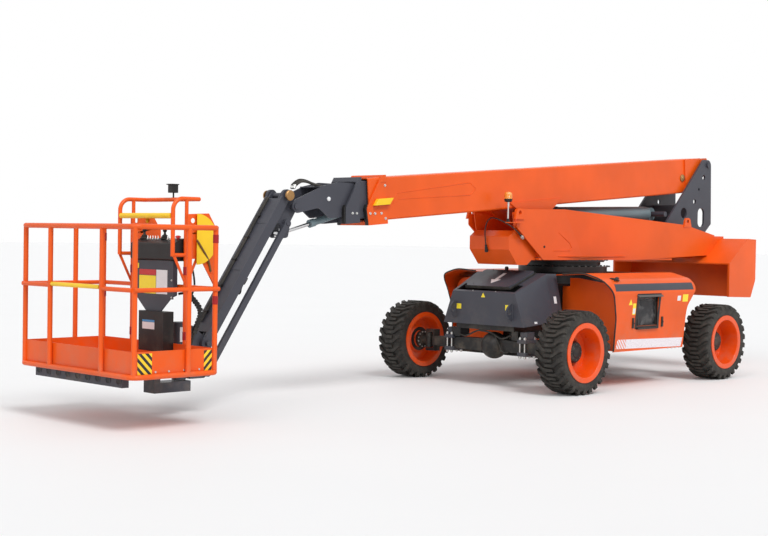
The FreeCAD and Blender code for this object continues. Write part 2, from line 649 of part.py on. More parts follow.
def guard_hoops():
    pieces = []
    for s in (-1, 1):
        pieces.append(rail([V(HOOP_X, s * 360, 1300), V(HOOP_X, s * 360, 1750), V(5200, s * 360, 1750)], 17, 90))
        pieces.append(post(BASKET_REAR, s * 360, 15, BASKET_TOP, 1745))
        pieces.append(rod(V(HOOP_X, s * 360, 1310), V(BASKET_REAR, s * 360, 1310), 15))
    pieces.append(rod(V(5200, -360, 1750), V(5200, 360, 1750), 17))
    return fuse(*pieces)


def guard_bar():
    return rod(V(HOOP_X, -343, 1615), V(HOOP_X, 343, 1615), 22)


def guard_discs():
    disc = pin_y(V(5250, 0, 1435), 200, 402, 406).common(box(4900, 5250, 300, 500, 1000, 1900))
    return both_sides(disc)


def console():
    return plate_y([(5265, 1260), (5265, 1420, 20), (5320, 1440, 10), (5425, 1400, 20), (5425, 1275, 10), (5390, 1260)],
                   -240, 330)


def console_bracket():
    face = box(5392, 5400, -220, 300, 960, 1260)
    arms = [box(5338, 5392, y, y + 12, 1000, 1260) for y in (-180, 260)]
    return fuse(face, *arms)


def document_box():
    return box(5345, 5445, -90, 240, 545, 860)


def under_beam():
    front = box(5920, 5980, -BASKET_HALF + 30, BASKET_HALF - 300, 318, BASKET_LOW - 4)
    spine = box(5345, 5920, -90, 90, 330, BASKET_LOW - 4)
    foot = box(ROTATOR_X - 65, 5400, -75, 75, 200, 284)
    return fuse(front, spine, foot, box(5345, 5400, -75, 75, 280, 340))


def gate_bar():
    x, z = BASKET_FRONT, MID_RAIL_Z + 10
    return rod(V(x, -GATE_HALF + RAIL + 6, z), V(x, GATE_HALF - RAIL - 6, z), 17)


# ---- writing -----------------------------------------------------------------------------------

def main():
    os.makedirs("parts", exist_ok=True)
    wheels()
    save("front_axle", front_axle())
    save("rear_axle", axle_beam(-AXLE_X, WHEEL_Y - 105))
    save("left_knuckle", knuckle())
    save("right_knuckle", mirror_y(knuckle()))
    save("steering_rod", steering_rod())
    save("chassis_frame", chassis_frame())
    save("front_body", end_body(1))
    save("rear_body", end_body(-1))
    save("front_lid", front_lid())
    save("left_cover", side_cover())
    save("right_cover", mirror_y(side_cover()))
    save("left_pod", pod())
    save("right_pod", mirror_y(pod()))
    save("engine", box(-480, 460, -960, -400, 396, 900))
    save("hydraulic_tank", box(-480, 460, 400, 900, 396, 860))
    save("slew_ring", slew_ring())
    save("slew_drive", slew_drive())
    save("turntable_frame", turntable_frame())
    save("front_box", front_box())
    save("boom_posts", boom_posts())
    save("counterweight", counterweight())
    save("beacon", beacon())
    save("boom_base", boom_base())
    save("base_collar", base_collar())
    save("boom_mid", boom_mid())
    save("boom_tip", boom_tip())
    save("boom_nose", boom_nose())
    lift = cylinder(LIFT_BASE, LIFT_EYE, 1740, 86, 50, 75, 30, 60, 300)
    jib = cylinder(JIB_CYLINDER_TOP, JIB_CYLINDER_EYE, 800, 40, 22, 36, 22, 32, 180)
    level = cylinder(LEVEL_BASE, LEVEL_PIN, 440, 30, 16, 30, 18, 26, 415)
    for name, (barrel, stem) in (("lift", lift), ("jib", jib), ("level", level)):
        save(name + "_cylinder_barrel", barrel)
        save(name + "_cylinder_rod", stem)
    save("jib_knuckle", jib_knuckle())
    save("jib_beam", jib_beam())
    save("jib_link", jib_link())
    save("platform_support", platform_support())
    save("rotator", rotator())
    frame = basket_frame()
    save("basket_frame", frame)
    save("basket_floor", basket_floor().cut(frame))
    save("toe_boards", toe_boards().cut(frame))
    save("guard_hoops", guard_hoops().cut(frame))
    save("guard_bar", guard_bar())
    save("guard_discs", guard_discs())
    save("control_console", console())
    save("console_bracket", console_bracket())
    save("document_box", document_box())
    save("under_beam", under_beam().cut(frame))
    save("gate_bar", gate_bar())


main()
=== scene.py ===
"""Telescopic boom lift: its finishes, its tyres' treads, and the fasteners, hoses and stripes it carries."""

import json
import math

import bmesh
import bpy
from mathutils import Matrix, Vector
from mathutils.bvhtree import BVHTree


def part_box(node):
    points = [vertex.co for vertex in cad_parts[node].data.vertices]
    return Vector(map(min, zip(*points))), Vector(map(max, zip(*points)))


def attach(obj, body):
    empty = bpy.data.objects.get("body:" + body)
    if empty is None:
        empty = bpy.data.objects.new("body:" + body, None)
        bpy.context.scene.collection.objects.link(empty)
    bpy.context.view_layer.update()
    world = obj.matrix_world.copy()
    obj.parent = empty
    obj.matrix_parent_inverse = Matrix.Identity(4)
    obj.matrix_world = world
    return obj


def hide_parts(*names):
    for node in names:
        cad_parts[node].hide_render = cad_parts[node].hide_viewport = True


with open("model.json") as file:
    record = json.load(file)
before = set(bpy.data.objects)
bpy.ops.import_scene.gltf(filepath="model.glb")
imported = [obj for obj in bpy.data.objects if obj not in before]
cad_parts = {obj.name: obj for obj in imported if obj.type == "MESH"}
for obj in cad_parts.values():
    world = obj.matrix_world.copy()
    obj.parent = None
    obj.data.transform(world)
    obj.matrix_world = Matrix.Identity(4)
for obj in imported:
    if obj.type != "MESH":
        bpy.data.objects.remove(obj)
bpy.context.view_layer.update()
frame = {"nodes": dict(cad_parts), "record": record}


def placed(name, data):
    """A new object of some data, linked to the scene."""
    holder = bpy.data.objects.new(name, data)
    bpy.context.collection.objects.link(holder)
    return holder


# ---- camera and light ----

CAMERA_PLACE = (10.13, 9.112, 1.479)
CAMERA_RIGHT = Vector((-0.7086, 0.7054, 0.0161))
CAMERA_UP = Vector((-0.0046, -0.0275, 0.9996))
CAMERA_BACK = Vector((0.7056, 0.7083, 0.0227))


def make_camera():
    camera = bpy.data.cameras.new("camera")
    camera.lens = 64.73
    camera.sensor_width = 36.0
    camera.clip_end = 500.0
    holder = placed("camera", camera)
    turn = Matrix((CAMERA_RIGHT, CAMERA_UP, CAMERA_BACK)).transposed()
    holder.matrix_world = Matrix.Translation(CAMERA_PLACE) @ turn.to_4x4()
    bpy.context.scene.camera = holder


def make_sun(name, direction, strength, angle):
    lamp = bpy.data.lights.new(name, "SUN")
    lamp.energy = strength
    lamp.angle = math.radians(angle)
    placed(name, lamp).rotation_euler = Vector(direction).to_track_quat("Z", "Y").to_euler()


def make_world():
    """A soft sky that lights the scene, and plain white where the camera, glossy finishes or glass see it."""
    world = bpy.data.worlds.new("studio")
    world.use_nodes = True
    tree = world.node_tree
    sky = tree.nodes["Background"]
    sky.inputs["Color"].default_value = (0.97, 0.98, 1.0, 1.0)
    sky.inputs["Strength"].default_value = 0.50
    white = tree.nodes.new("ShaderNodeBackground")
    white.inputs["Color"].default_value = (1.0, 1.0, 1.0, 1.0)
    white.inputs["Strength"].default_value = 1.0
    path = tree.nodes.new("ShaderNodeLightPath")
    seen = tree.nodes.new("ShaderNodeMixShader")
    plain = path.outputs["Is Camera Ray"]
    for kind in ("Is Glossy Ray", "Is Transmission Ray"):
        either = tree.nodes.new("ShaderNodeMath")
        either.operation = "MAXIMUM"
        tree.links.new(plain, either.inputs[0])
        tree.links.new(path.outputs[kind], either.inputs[1])
        plain = either.outputs[0]
    tree.links.new(plain, seen.inputs[0])
    tree.links.new(sky.outputs[0], seen.inputs[1])
    tree.links.new(white.outputs[0], seen.inputs[2])
    tree.links.new(seen.outputs[0], tree.nodes["World Output"].inputs["Surface"])
    bpy.context.scene.world = world


# ---- finishes ----


class Term:
    """A socket that can be used in arithmetic; each sum or product adds its Math node."""

    def __init__(self, finish, socket):
        self.finish = finish
        self.socket = socket

    def maths(self, operation, first, second=0.0):
        return self.finish.node("Math", {"operation": operation}, {0: first, 1: second})

    def __add__(self, other):
        return self.maths("ADD", self, other)

    def __mul__(self, other):
        return self.maths("MULTIPLY", self, other)

    def __sub__(self, other):
        return self.maths("SUBTRACT", self, other)

    def __rsub__(self, other):
        return self.maths("SUBTRACT", other, self)

    __radd__ = __add__
    __rmul__ = __mul__

    def over(self, limit):
        return self.maths("GREATER_THAN", self, limit)

    def ramp(self, low, high):
        """0 below low, 1 above high and smooth between."""
        sizes = {"Value": self, "From Min": low, "From Max": high}
        return self.finish.node("MapRange", {"interpolation_type": "SMOOTHSTEP"}, sizes)


class Finish:
    """A material and the nodes that make it."""

    def __init__(self, name):
        self.material = bpy.data.materials.new(name)
        self.material.use_nodes = True
        self.tree = self.material.node_tree
        self.shader = self.tree.nodes["Principled BSDF"]

    def node(self, kind, settings, values, output=0):
        made = self.tree.nodes.new("ShaderNode" + kind)
        for key, value in settings.items():
            setattr(made, key, value)
        for key, value in values.items():
            self.join(value, made.inputs[key])
        return Term(self, made.outputs[output])

    def join(self, value, socket):
        if isinstance(value, Term):
            self.tree.links.new(value.socket, socket)
        else:
            socket.default_value = value

    def place(self):
        return self.node("TexCoord", {}, {}, "Object")

    def maths_of(self, operation, value):
        return self.node("Math", {"operation": operation}, {0: value})

    def noise(self, scale, detail=3.0, rough=0.5, where=None):
        values = {"Vector": where or self.place(), "Scale": scale, "Detail": detail, "Roughness": rough}
        return self.node("TexNoise", {}, values, "Fac")

    def along(self, axis):
        return self.node("SeparateXYZ", {}, {"Vector": self.place()}, axis)

    def blend(self, mask, first, second):
        """The first colour where the mask is 0 and the second where it is 1."""
        return self.node("Mix", {"data_type": "RGBA"}, {"Factor": mask, 6: first, 7: second}, 2)

    def bump(self, height, distance, strength=1.0):
        return self.node("Bump", {}, {"Height": height, "Distance": distance, "Strength": strength})

    def set(self, **sockets):
        for key, value in sockets.items():
            self.join(value, self.shader.inputs[key.replace("_", " ")])
        return self


def colour(red, green, blue):
    return (red, green, blue, 1.0)


DUST = colour(0.30, 0.25, 0.19)


def worn_edges(finish, radius, scale):
    """1 on outer edges where paint rubs thin, broken up by noise."""
    rounded = finish.node("Bevel", {"samples": 4}, {"Radius": radius})
    flat = finish.node("NewGeometry", {}, {}, "Normal")
    facing = finish.node("VectorMath", {"operation": "DOT_PRODUCT"}, {0: rounded, 1: flat}, "Value")
    return (1 - facing).ramp(0.02, 0.12) * finish.noise(scale, 4.0, 0.7).ramp(0.50, 0.66)


def paint(name, base, roughness, coat, edge=None):
    """Sprayed enamel: an even colour with a faint cloud, orange peel, road dust low down and rubbed edges."""
    finish = Finish(name)
    cloud = finish.noise(1.7, 3.0)
    deep = colour(*[c * 0.86 for c in base[:3]])
    tone = finish.blend(cloud.ramp(0.3, 0.7), deep, base)
    height = finish.along("Z")
    grime = (1 - height.ramp(0.1, 1.0)) * finish.noise(5.0, 5.0, 0.65).ramp(0.42, 0.72) * 0.30
    tone = finish.blend(grime, tone, DUST)
    if edge:
        tone = finish.blend(worn_edges(finish, 0.004, 24.0) * 0.5, tone, edge)
    peel = finish.noise(260.0, 1.0)
    finish.set(Base_Color=tone, Roughness=finish.noise(9.0).ramp(0.2, 0.8) * 0.10 + grime * 0.4 + roughness,
               Normal=finish.bump(peel, 0.0004, 0.25))
    finish.set(Coat_Weight=coat, Coat_Roughness=0.12, Specular_IOR_Level=0.30)
    return finish.material


def rubber(name):
    finish = Finish(name)
    spots = finish.noise(14.0, 6.0, 0.7)
    tone = finish.blend(spots.ramp(0.35, 0.75), colour(0.022, 0.020, 0.018), colour(0.056, 0.050, 0.042))
    grain = finish.noise(120.0, 4.0, 0.7)
    finish.set(Base_Color=tone, Roughness=finish.noise(30.0).ramp(0.2, 0.8) * 0.2 + 0.62,
               Normal=finish.bump(grain, 0.001, 0.5))
    finish.set(Specular_IOR_Level=0.35)
    return finish.material


def bright_steel(name, base, roughness):
    finish = Finish(name)
    streaks = finish.noise(40.0, 4.0, 0.6)
    deep = colour(*[c * 0.8 for c in base[:3]])
    finish.set(Base_Color=finish.blend(streaks, deep, base), Roughness=streaks * 0.12 + roughness,
               Normal=finish.bump(finish.noise(300.0, 2.0), 0.0002, 0.2))
    finish.set(Metallic=1.0)
    return finish.material


def amber_glass(name):
    finish = Finish(name)
    ribs = finish.node("TexWave", {"bands_direction": "Z"}, {"Vector": finish.place(), "Scale": 55.0})
    finish.set(Base_Color=finish.blend(ribs, colour(0.80, 0.22, 0.015), colour(0.95, 0.38, 0.04)),
               Normal=finish.bump(ribs, 0.002, 0.5), Roughness=finish.noise(30.0) * 0.1 + 0.12)
    finish.set(Coat_Weight=0.6)
    return finish.material


def striped(name, lean, stripe, ground, width=0.062):
    """Slanting stripes of tape: lean is 1 or -1, the way that they slope along X."""
    finish = Finish(name)
    run = finish.along("X") * lean + finish.along("Z")
    band = finish.maths_of("FRACT", run * (1 / width))
    tone = finish.blend(band.over(0.5), stripe, ground)
    tone = finish.blend(finish.noise(30.0, 5.0, 0.7).ramp(0.62, 0.76) * 0.5, tone, DUST)
    finish.set(Base_Color=tone, Roughness=finish.noise(20.0) * 0.2 + 0.28,
               Normal=finish.bump(finish.noise(400.0, 1.0), 0.0001, 0.3))
    return finish.material


def reflective_tape(name):
    """Silver tape of small honeycomb cells, hatched with orange at its front end."""
    finish = Finish(name)
    cells = finish.node("TexVoronoi", {"feature": "DISTANCE_TO_EDGE"},
                        {"Vector": finish.place(), "Scale": 120.0}, "Distance")
    tone = finish.blend(cells.ramp(0.0, 0.12), colour(0.60, 0.52, 0.56), colour(0.86, 0.82, 0.85))
    hatch = finish.maths_of("FRACT", (finish.along("X") - finish.along("Z") * 0.8) * 24.0).over(0.55)
    front = finish.along("X").over(-1.30)
    tone = finish.blend(hatch * front * 0.8, tone, colour(0.80, 0.16, 0.05))
    finish.set(Base_Color=tone, Roughness=finish.noise(15.0) * 0.15 + 0.22,
               Normal=finish.bump(cells, 0.0003, 0.4))
    return finish.material


def plate_print(name, base, mark, share=0.25):
    """A printed plate without words: its ground, a paler rubbed rim and a soft band of the second colour."""
    finish = Finish(name)
    rub = finish.noise(70.0, 4.0, 0.7).ramp(0.55, 0.75)
    cloud = finish.noise(9.0, 2.0).ramp(0.3, 0.7)
    tone = finish.blend(cloud * share, base, mark)
    tone = finish.blend(rub * 0.25, tone, DUST)
    finish.set(Base_Color=tone, Roughness=finish.noise(25.0) * 0.2 + 0.30,
               Normal=finish.bump(finish.noise(350.0, 1.0), 0.0001, 0.3))
    return finish.material


def smoked_glass(name):
    finish = Finish(name)
    dust = finish.noise(11.0, 5.0, 0.7).ramp(0.45, 0.8)
    finish.set(Base_Color=finish.blend(dust, colour(0.05, 0.05, 0.055), colour(0.22, 0.21, 0.20)),
               Alpha=dust * 0.18 + 0.34, Roughness=dust * 0.2 + 0.06)
    finish.set(Specular_IOR_Level=0.5)
    return finish.material


ORANGE = colour(0.83, 0.105, 0.006)
SLATE = colour(0.056, 0.058, 0.073)
BLACK = colour(0.014, 0.013, 0.013)
YELLOW = colour(0.93, 0.60, 0.018)

FINISHES = {
    "orange_paint": paint("orange_enamel", ORANGE, 0.34, 0.08, colour(0.42, 0.16, 0.07)),
    "rim_paint": paint("rim_enamel", colour(0.86, 0.085, 0.004), 0.26, 0.25, colour(0.45, 0.16, 0.07)),
    "slate_paint": paint("slate_enamel", SLATE, 0.40, 0.06, colour(0.22, 0.22, 0.23)),
    "black_parts": paint("black_enamel", BLACK, 0.42, 0.05, colour(0.11, 0.11, 0.11)),
    "yellow_paint": paint("yellow_enamel", YELLOW, 0.34, 0.10, colour(0.55, 0.38, 0.10)),
    "cylinder_paint": paint("cylinder_enamel", colour(0.17, 0.235, 0.26), 0.30, 0.20),
    "tyre_rubber": rubber("tyre_rubber"),
    "chrome_rod": bright_steel("hard_chrome", colour(0.72, 0.72, 0.73), 0.10),
    "amber_lens": amber_glass("amber_lens"),
    "cable_rubber": rubber("cable_rubber"),
    "zinc": bright_steel("zinc_plate", colour(0.66, 0.66, 0.64), 0.28),
    "bronze": bright_steel("bronze_cap", colour(0.42, 0.24, 0.10), 0.38),
    "cast_iron": paint("cast_iron", colour(0.12, 0.11, 0.105), 0.55, 0.0),
    # Dark red: real paint on the post bands, and painted shade on the sheets under the collar steps.
    "red_paint_and_painted_shade": paint("red_paint_and_painted_shade", colour(0.36, 0.010, 0.012), 0.40, 0.05),
    "strap": paint("brown_strap", colour(0.16, 0.085, 0.03), 0.70, 0.0),
    "hazard_left": striped("hazard_stripes_forward", -1, BLACK, YELLOW),
    "hazard_right": striped("hazard_stripes_back", 1, BLACK, YELLOW),
    "silver_tape": reflective_tape("reflective_tape"),
    "white_plate": plate_print("white_plate", colour(0.78, 0.79, 0.80), colour(0.58, 0.60, 0.62)),
    "yellow_plate": plate_print("yellow_plate", colour(0.93, 0.75, 0.03), colour(0.80, 0.58, 0.02)),
    "red_plate": plate_print("red_plate", colour(0.55, 0.02, 0.02), colour(0.40, 0.015, 0.015)),
    "blue_plate": plate_print("blue_plate", colour(0.05, 0.28, 0.60), colour(0.04, 0.20, 0.45)),
    "glass": smoked_glass("smoked_glass"),
}


def dress_nodes():
    """Gives each CAD node the finish of its own slot."""
    slots = {part["node"]: part["material_slot"] for part in frame["record"]["subparts"]}
    for node, holder in frame["nodes"].items():
        finish = FINISHES[slots[node]]
        for slot in holder.material_slots:
            slot.material = finish


# ---- places ----

MIDDLE_X = 1720.0
BOOM_PIVOT = (-2320, 2380)
BOOM_TURN = math.radians(4.8)
JIB_TOP = (4072.0, 1819.0)
JIB_AHEAD = (0.5618, -0.8273)
UP = Vector((0, 0, 1))
DOWN = Vector((0, 0, -1))
FORWARD = Vector((1, 0, 0))
BACKWARD = Vector((-1, 0, 0))
SIDES = (("left", 1), ("right", -1))


def at(x, y, z):
    """A place in the frame from millimetres ahead of the wheels' middle, to its left and above the ground."""
    return Vector((x - MIDDLE_X, y, z)) / 1000.0


def on_boom(along, up, y):
    """A place on the boom: millimetres along it from its pivot and up from the pivot's line."""
    pivot_x, pivot_z = BOOM_PIVOT
    return at(pivot_x + along * math.cos(BOOM_TURN) + up * math.sin(BOOM_TURN), y,
              pivot_z - along * math.sin(BOOM_TURN) + up * math.cos(BOOM_TURN))


def on_jib(along, up, y):
    """A place on the jib: millimetres along it from its top pin and up from the pins' line."""
    top_x, top_z = JIB_TOP
    ahead, rise = JIB_AHEAD
    return at(top_x + ahead * along - rise * up, y, top_z + rise * along + ahead * up)


def sideways(distance):
    """A vector across the machine, in metres, to its left when it is above nought."""
    return Vector((0, distance, 0))


def in_plane(y, points):
    """Places in an upright plane along the machine, from their x and z."""
    return [at(x, y, z) for x, z in points]


def rectangle(place, u0, u1, v0, v1):
    """Four corners in turn, from a function that makes a place of two numbers."""
    return [place(u0, v0), place(u1, v0), place(u1, v1), place(u0, v1)]


# ---- mesh helpers ----


def ring(centre, ahead, side, radius, steps):
    """Places on a circle about an axis, from the side on which it starts."""
    across = ahead.cross(side)
    turns = (2 * math.pi * k / steps for k in range(steps))
    return [centre + (side * math.cos(turn) + across * math.sin(turn)) * radius for turn in turns]


def tube_faces(rings, steps):
    """The faces between rings of vertices, and those that close both ends."""
    last = (rings - 1) * steps
    faces = []
    for start in range(0, last, steps):
        for k in range(steps):
            a, b = start + k, start + (k + 1) % steps
            faces.append((a, b, b + steps, a + steps))
    return faces + [tuple(reversed(range(steps))), tuple(range(last, last + steps))]


class Shape:
    """Vertices and faces of one piece, added part by part."""

    def __init__(self):
        self.vertices = []
        self.faces = []

    def add(self, vertices, faces):
        start = len(self.vertices)
        self.vertices += vertices
        self.faces += [tuple(i + start for i in face) for face in faces]
        return self

    def slab(self, corners, thick):
        """A flat plate from its outline and the vector of its thickness."""
        count = len(corners)
        sides = [(k, (k + 1) % count, count + (k + 1) % count, count + k) for k in range(count)]
        return self.add(list(corners) + [p + thick for p in corners],
                        [tuple(range(count)), tuple(range(2 * count - 1, count - 1, -1))] + sides)

    def holed(self, corners, centre, radius, thick, steps=32):
        """A flat plate with a round hole: its outline is seen whole from the hole's centre."""
        outer = []
        for i, corner in enumerate(corners):
            after = corners[(i + 1) % len(corners)]
            parts = max(1, round(steps * (after - corner).length / 4 / radius / 4))
            outer += [corner.lerp(after, k / parts) for k in range(parts)]
        inner = [centre + (p - centre).normalized() * radius for p in outer]
        count = len(outer)
        faces = []
        for k in range(count):
            n = (k + 1) % count
            faces.append((k, n, count + n, count + k))
            faces.append((2 * count + k, 3 * count + k, 3 * count + n, 2 * count + n))
            faces.append((k, 2 * count + k, 2 * count + n, n))
            faces.append((count + k, count + n, 3 * count + n, 3 * count + k))
        rings = outer + inner
        return self.add(rings + [p + thick for p in rings], faces)

    def block(self, low, high):
        """A box from its lowest and its highest corner."""
        corners = [Vector((x, y, low.z)) for x, y in
                   ((low.x, low.y), (high.x, low.y), (high.x, high.y), (low.x, high.y))]
        return self.slab(corners, Vector((0, 0, high.z - low.z)))

    def turned(self, start, direction, profile, steps=24):
        """A round form about an axis: the profile's points are the distance along it and the radius."""
        ahead = direction.normalized()
        side = ahead.orthogonal().normalized()
        vertices = []
        for distance, radius in profile:
            vertices += ring(start + ahead * distance, ahead, side, radius, steps)
        return self.add(vertices, tube_faces(len(profile), steps))

    def rod(self, start, end, radius, steps=16):
        """A round bar with small rims at its ends."""
        length = (end - start).length
        rim = min(radius * 0.2, length * 0.2)
        profile = [(0, radius - rim), (rim, radius), (length - rim, radius), (length, radius - rim)]
        return self.turned(start, end - start, profile, steps)

    def hose(self, points, radius, steps=12):
        """A hose along the smooth line of a route."""
        line = line_of(points)
        return self.add(*sweep(line, [radius] * len(line), steps))

    def made(self, name, finish, body, slot, smooth=None, rounded=0.0):
        """The piece of this shape: smooth up to an angle in degrees, or flat, with its edges rounded."""
        return piece(name, self.vertices, self.faces, FINISHES[finish], body, smooth, rounded)


SURFACES = {}


def surface(node):
    """A search tree of a node's faces."""
    if node not in SURFACES:
        mesh = frame["nodes"][node].data
        mesh.calc_loop_triangles()
        SURFACES[node] = BVHTree.FromPolygons([v.co.copy() for v in mesh.vertices],
                                              [tuple(t.vertices) for t in mesh.loop_triangles])
    return SURFACES[node]


def touch(node, start, direction, lift=0.0):
    """Where a line from a place meets a node's surface, lifted off it."""
    spot, normal, _, _ = surface(node).ray_cast(start, direction)
    if spot is None:
        raise ValueError(f"nothing of {node} lies ahead of {tuple(start)}")
    if normal.dot(direction) > 0:
        normal = -normal
    return spot + normal * lift


PLATE_DEPTH = 0.0006


def wrap(shape, node, corners, direction, columns=8, rows=3, lift=0.0009):
    """Adds a thin plate that lies on a node's surface inside four corners."""
    a, b, c, d = corners
    front, back = [], []
    for j in range(rows + 1):
        for i in range(columns + 1):
            u, v = i / columns, j / rows
            start = a.lerp(b, u).lerp(d.lerp(c, u), v)
            front.append(touch(node, start, direction, lift))
            back.append(front[-1] + direction * (lift + PLATE_DEPTH))
    row = columns + 1
    count = len(front)
    faces = []
    for j in range(rows):
        for i in range(columns):
            k = j * row + i
            faces.append((k, k + 1, k + row + 1, k + row))
            faces.append((count + k, count + k + row, count + k + row + 1, count + k + 1))
    rim = list(range(row)) + [(j + 1) * row - 1 for j in range(1, rows + 1)]
    rim += [rows * row + i for i in range(columns - 1, -1, -1)] + [j * row for j in range(rows - 1, 0, -1)]
    for n, k in enumerate(rim):
        after = rim[(n + 1) % len(rim)]
        faces.append((k, k + count, after + count, after))
    return shape.add(front + back, faces)


def piece(name, vertices, faces, finish, body, smooth=None, rounded=0.0):
    """A mesh object at the origin with its finish, riding on a body."""
    mesh = bpy.data.meshes.new(name)
    mesh.from_pydata([tuple(v) for v in vertices], [], faces)
    work = bmesh.new()
    work.from_mesh(mesh)
    bmesh.ops.remove_doubles(work, verts=work.verts, dist=1e-5)
    bmesh.ops.recalc_face_normals(work, faces=work.faces)
    if rounded:
        bmesh.ops.bevel(work, geom=list(work.edges), offset=rounded, segments=1, affect="EDGES", profile=0.5)
    work.to_mesh(mesh)
    work.free()
    mesh.materials.append(finish)
    holder = placed(name, mesh)
    if smooth is not None:
        mesh.polygons.foreach_set("use_smooth", [True] * len(mesh.polygons))
        mesh.set_sharp_from_angle(angle=math.radians(smooth))
    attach(holder, body)
    return holder


def revolved(profile, steps, centre):
    """Vertices and faces of a ring about the Y axis through a centre: profile points are radius and y."""
    vertices, faces = [], []
    count = len(profile)
    for i in range(steps):
        turn = 2 * math.pi * i / steps
        for radius, y in profile:
            vertices.append(on_tread(radius, y, turn) + centre)
    for i in range(steps):
        for k in range(count):
            a, b = i * count, ((i + 1) % steps) * count
            faces.append((a + k, a + (k + 1) % count, b + (k + 1) % count, b + k))
    return vertices, faces


# ---- geometry nodes ----


class Pattern:
    """A geometry node tree with named inputs, made in the script."""

    def __init__(self, name, **inputs):
        self.tree = bpy.data.node_groups.new(name, "GeometryNodeTree")
        face = self.tree.interface
        face.new_socket("Geometry", in_out="INPUT", socket_type="NodeSocketGeometry")
        for key, kind in inputs.items():
            face.new_socket(key, in_out="INPUT", socket_type="NodeSocket" + kind)
        face.new_socket("Geometry", in_out="OUTPUT", socket_type="NodeSocketGeometry")
        self.entry = self.tree.nodes.new("NodeGroupInput")
        self.exit = self.tree.nodes.new("NodeGroupOutput")

    def node(self, kind, settings, values):
        made = self.tree.nodes.new(kind)
        for key, value in settings.items():
            setattr(made, key, value)
        for key, value in values.items():
            if isinstance(value, bpy.types.NodeSocket):
                self.tree.links.new(value, made.inputs[key])
            else:
                made.inputs[key].default_value = value
        return made

    def scaled(self, size, factor):
        return self.node("ShaderNodeMath", {"operation": "MULTIPLY"}, {0: size, 1: factor}).outputs[0]

    def joined(self, parts):
        both = self.node("GeometryNodeJoinGeometry", {}, {})
        for part in parts:
            self.tree.links.new(part.outputs["Mesh"], both.inputs[0])
        return both.outputs[0]

    def copies(self, points, instance, rotation, finish):
        """Ends the tree with a copy at each point, made real and given its finish."""
        spread = self.node("GeometryNodeInstanceOnPoints", {},
                           {"Points": points, "Instance": instance, "Rotation": rotation})
        real = self.node("GeometryNodeRealizeInstances", {}, {"Geometry": spread.outputs[0]})
        done = self.node("GeometryNodeSetMaterial", {}, {"Geometry": real.outputs[0], "Material": finish})
        self.tree.links.new(done.outputs[0], self.exit.inputs[0])
        return self.tree


def ring_pattern(finish):
    """Copies of a mesh turned about the Y axis at even steps."""
    pattern = Pattern("round_the_wheel", Count="Int")
    count = pattern.entry.outputs["Count"]
    spots = pattern.node("GeometryNodePoints", {}, {"Count": count})
    index = pattern.node("GeometryNodeInputIndex", {}, {})
    step = pattern.node("ShaderNodeMath", {"operation": "DIVIDE"}, {0: 2 * math.pi, 1: count})
    turn = pattern.scaled(index.outputs[0], step.outputs[0])
    angles = pattern.node("ShaderNodeCombineXYZ", {}, {"Y": turn})
    return pattern.copies(spots.outputs[0], pattern.entry.outputs[0], angles.outputs[0], finish)


def bolt_pattern(finish):
    """A hexagon head on a washer at each point, standing the way that the point faces."""
    pattern = Pattern("bolt_heads", Size="Float")
    size = pattern.entry.outputs["Size"]
    facing = pattern.node("GeometryNodeInputNamedAttribute", {"data_type": "FLOAT_VECTOR"},
                          {"Name": "facing"})
    turn = pattern.node("FunctionNodeAlignRotationToVector", {"axis": "Z"}, {"Vector": facing.outputs[0]})
    washer = {"Vertices": 14, "Radius": pattern.scaled(size, 1.15), "Depth": pattern.scaled(size, 0.35)}
    head = {"Vertices": 6, "Radius": size, "Depth": pattern.scaled(size, 1.5)}
    parts = [pattern.node("GeometryNodeMeshCylinder", {}, sizes) for sizes in (washer, head)]
    return pattern.copies(pattern.entry.outputs[0], pattern.joined(parts), turn.outputs[0], finish)


def chain_pattern(finish):
    """Links of an energy chain along a curve: broad links with a narrower waist between them."""
    pattern = Pattern("energy_chain", Pitch="Float", Width="Float", Height="Float")
    pitch, width, height = (pattern.entry.outputs[key] for key in ("Pitch", "Width", "Height"))
    spots = pattern.node("GeometryNodeCurveToPoints", {"mode": "LENGTH"},
                         {"Curve": pattern.entry.outputs[0], "Length": pitch})
    boxes = []
    for share, long in ((1.0, 0.62), (0.80, 1.02)):
        sizes = {"X": pattern.scaled(height, share), "Y": pattern.scaled(width, share),
                 "Z": pattern.scaled(pitch, long)}
        size = pattern.node("ShaderNodeCombineXYZ", {}, sizes)
        boxes.append(pattern.node("GeometryNodeMeshCube", {}, {"Size": size.outputs[0]}))
    return pattern.copies(spots.outputs["Points"], pattern.joined(boxes), spots.outputs["Rotation"], finish)


def meshed(holder):
    """The vertices and faces of an object's worked-out curve or modifiers; the object is removed."""
    made = bpy.data.meshes.new_from_object(holder.evaluated_get(bpy.context.evaluated_depsgraph_get()))
    bpy.data.objects.remove(holder)
    points = [v.co.copy() for v in made.vertices]
    polygons = [tuple(p.vertices) for p in made.polygons]
    bpy.data.meshes.remove(made)
    return points, polygons


def evaluated(holder, tree, settings):
    """The vertices and faces that a pattern makes from an object."""
    modifier = holder.modifiers.new("pattern", "NODES")
    modifier.node_group = tree
    for item in tree.interface.items_tree:
        if item.item_type == "SOCKET" and item.in_out == "INPUT" and item.name in settings:
            modifier[item.identifier] = settings[item.name]
    bpy.context.view_layer.update()
    return meshed(holder)


def patterned(name, vertices, faces, tree, settings, facing=None):
    """What a pattern makes from one part, or from points that each face some way."""
    mesh = bpy.data.meshes.new(name)
    mesh.from_pydata([tuple(v) for v in vertices], [], faces)
    if facing:
        ways = mesh.attributes.new("facing", "FLOAT_VECTOR", "POINT")
        ways.data.foreach_set("vector", [c for way in facing for c in way])
    return evaluated(placed(name, mesh), tree, settings)


PATTERNS = {}


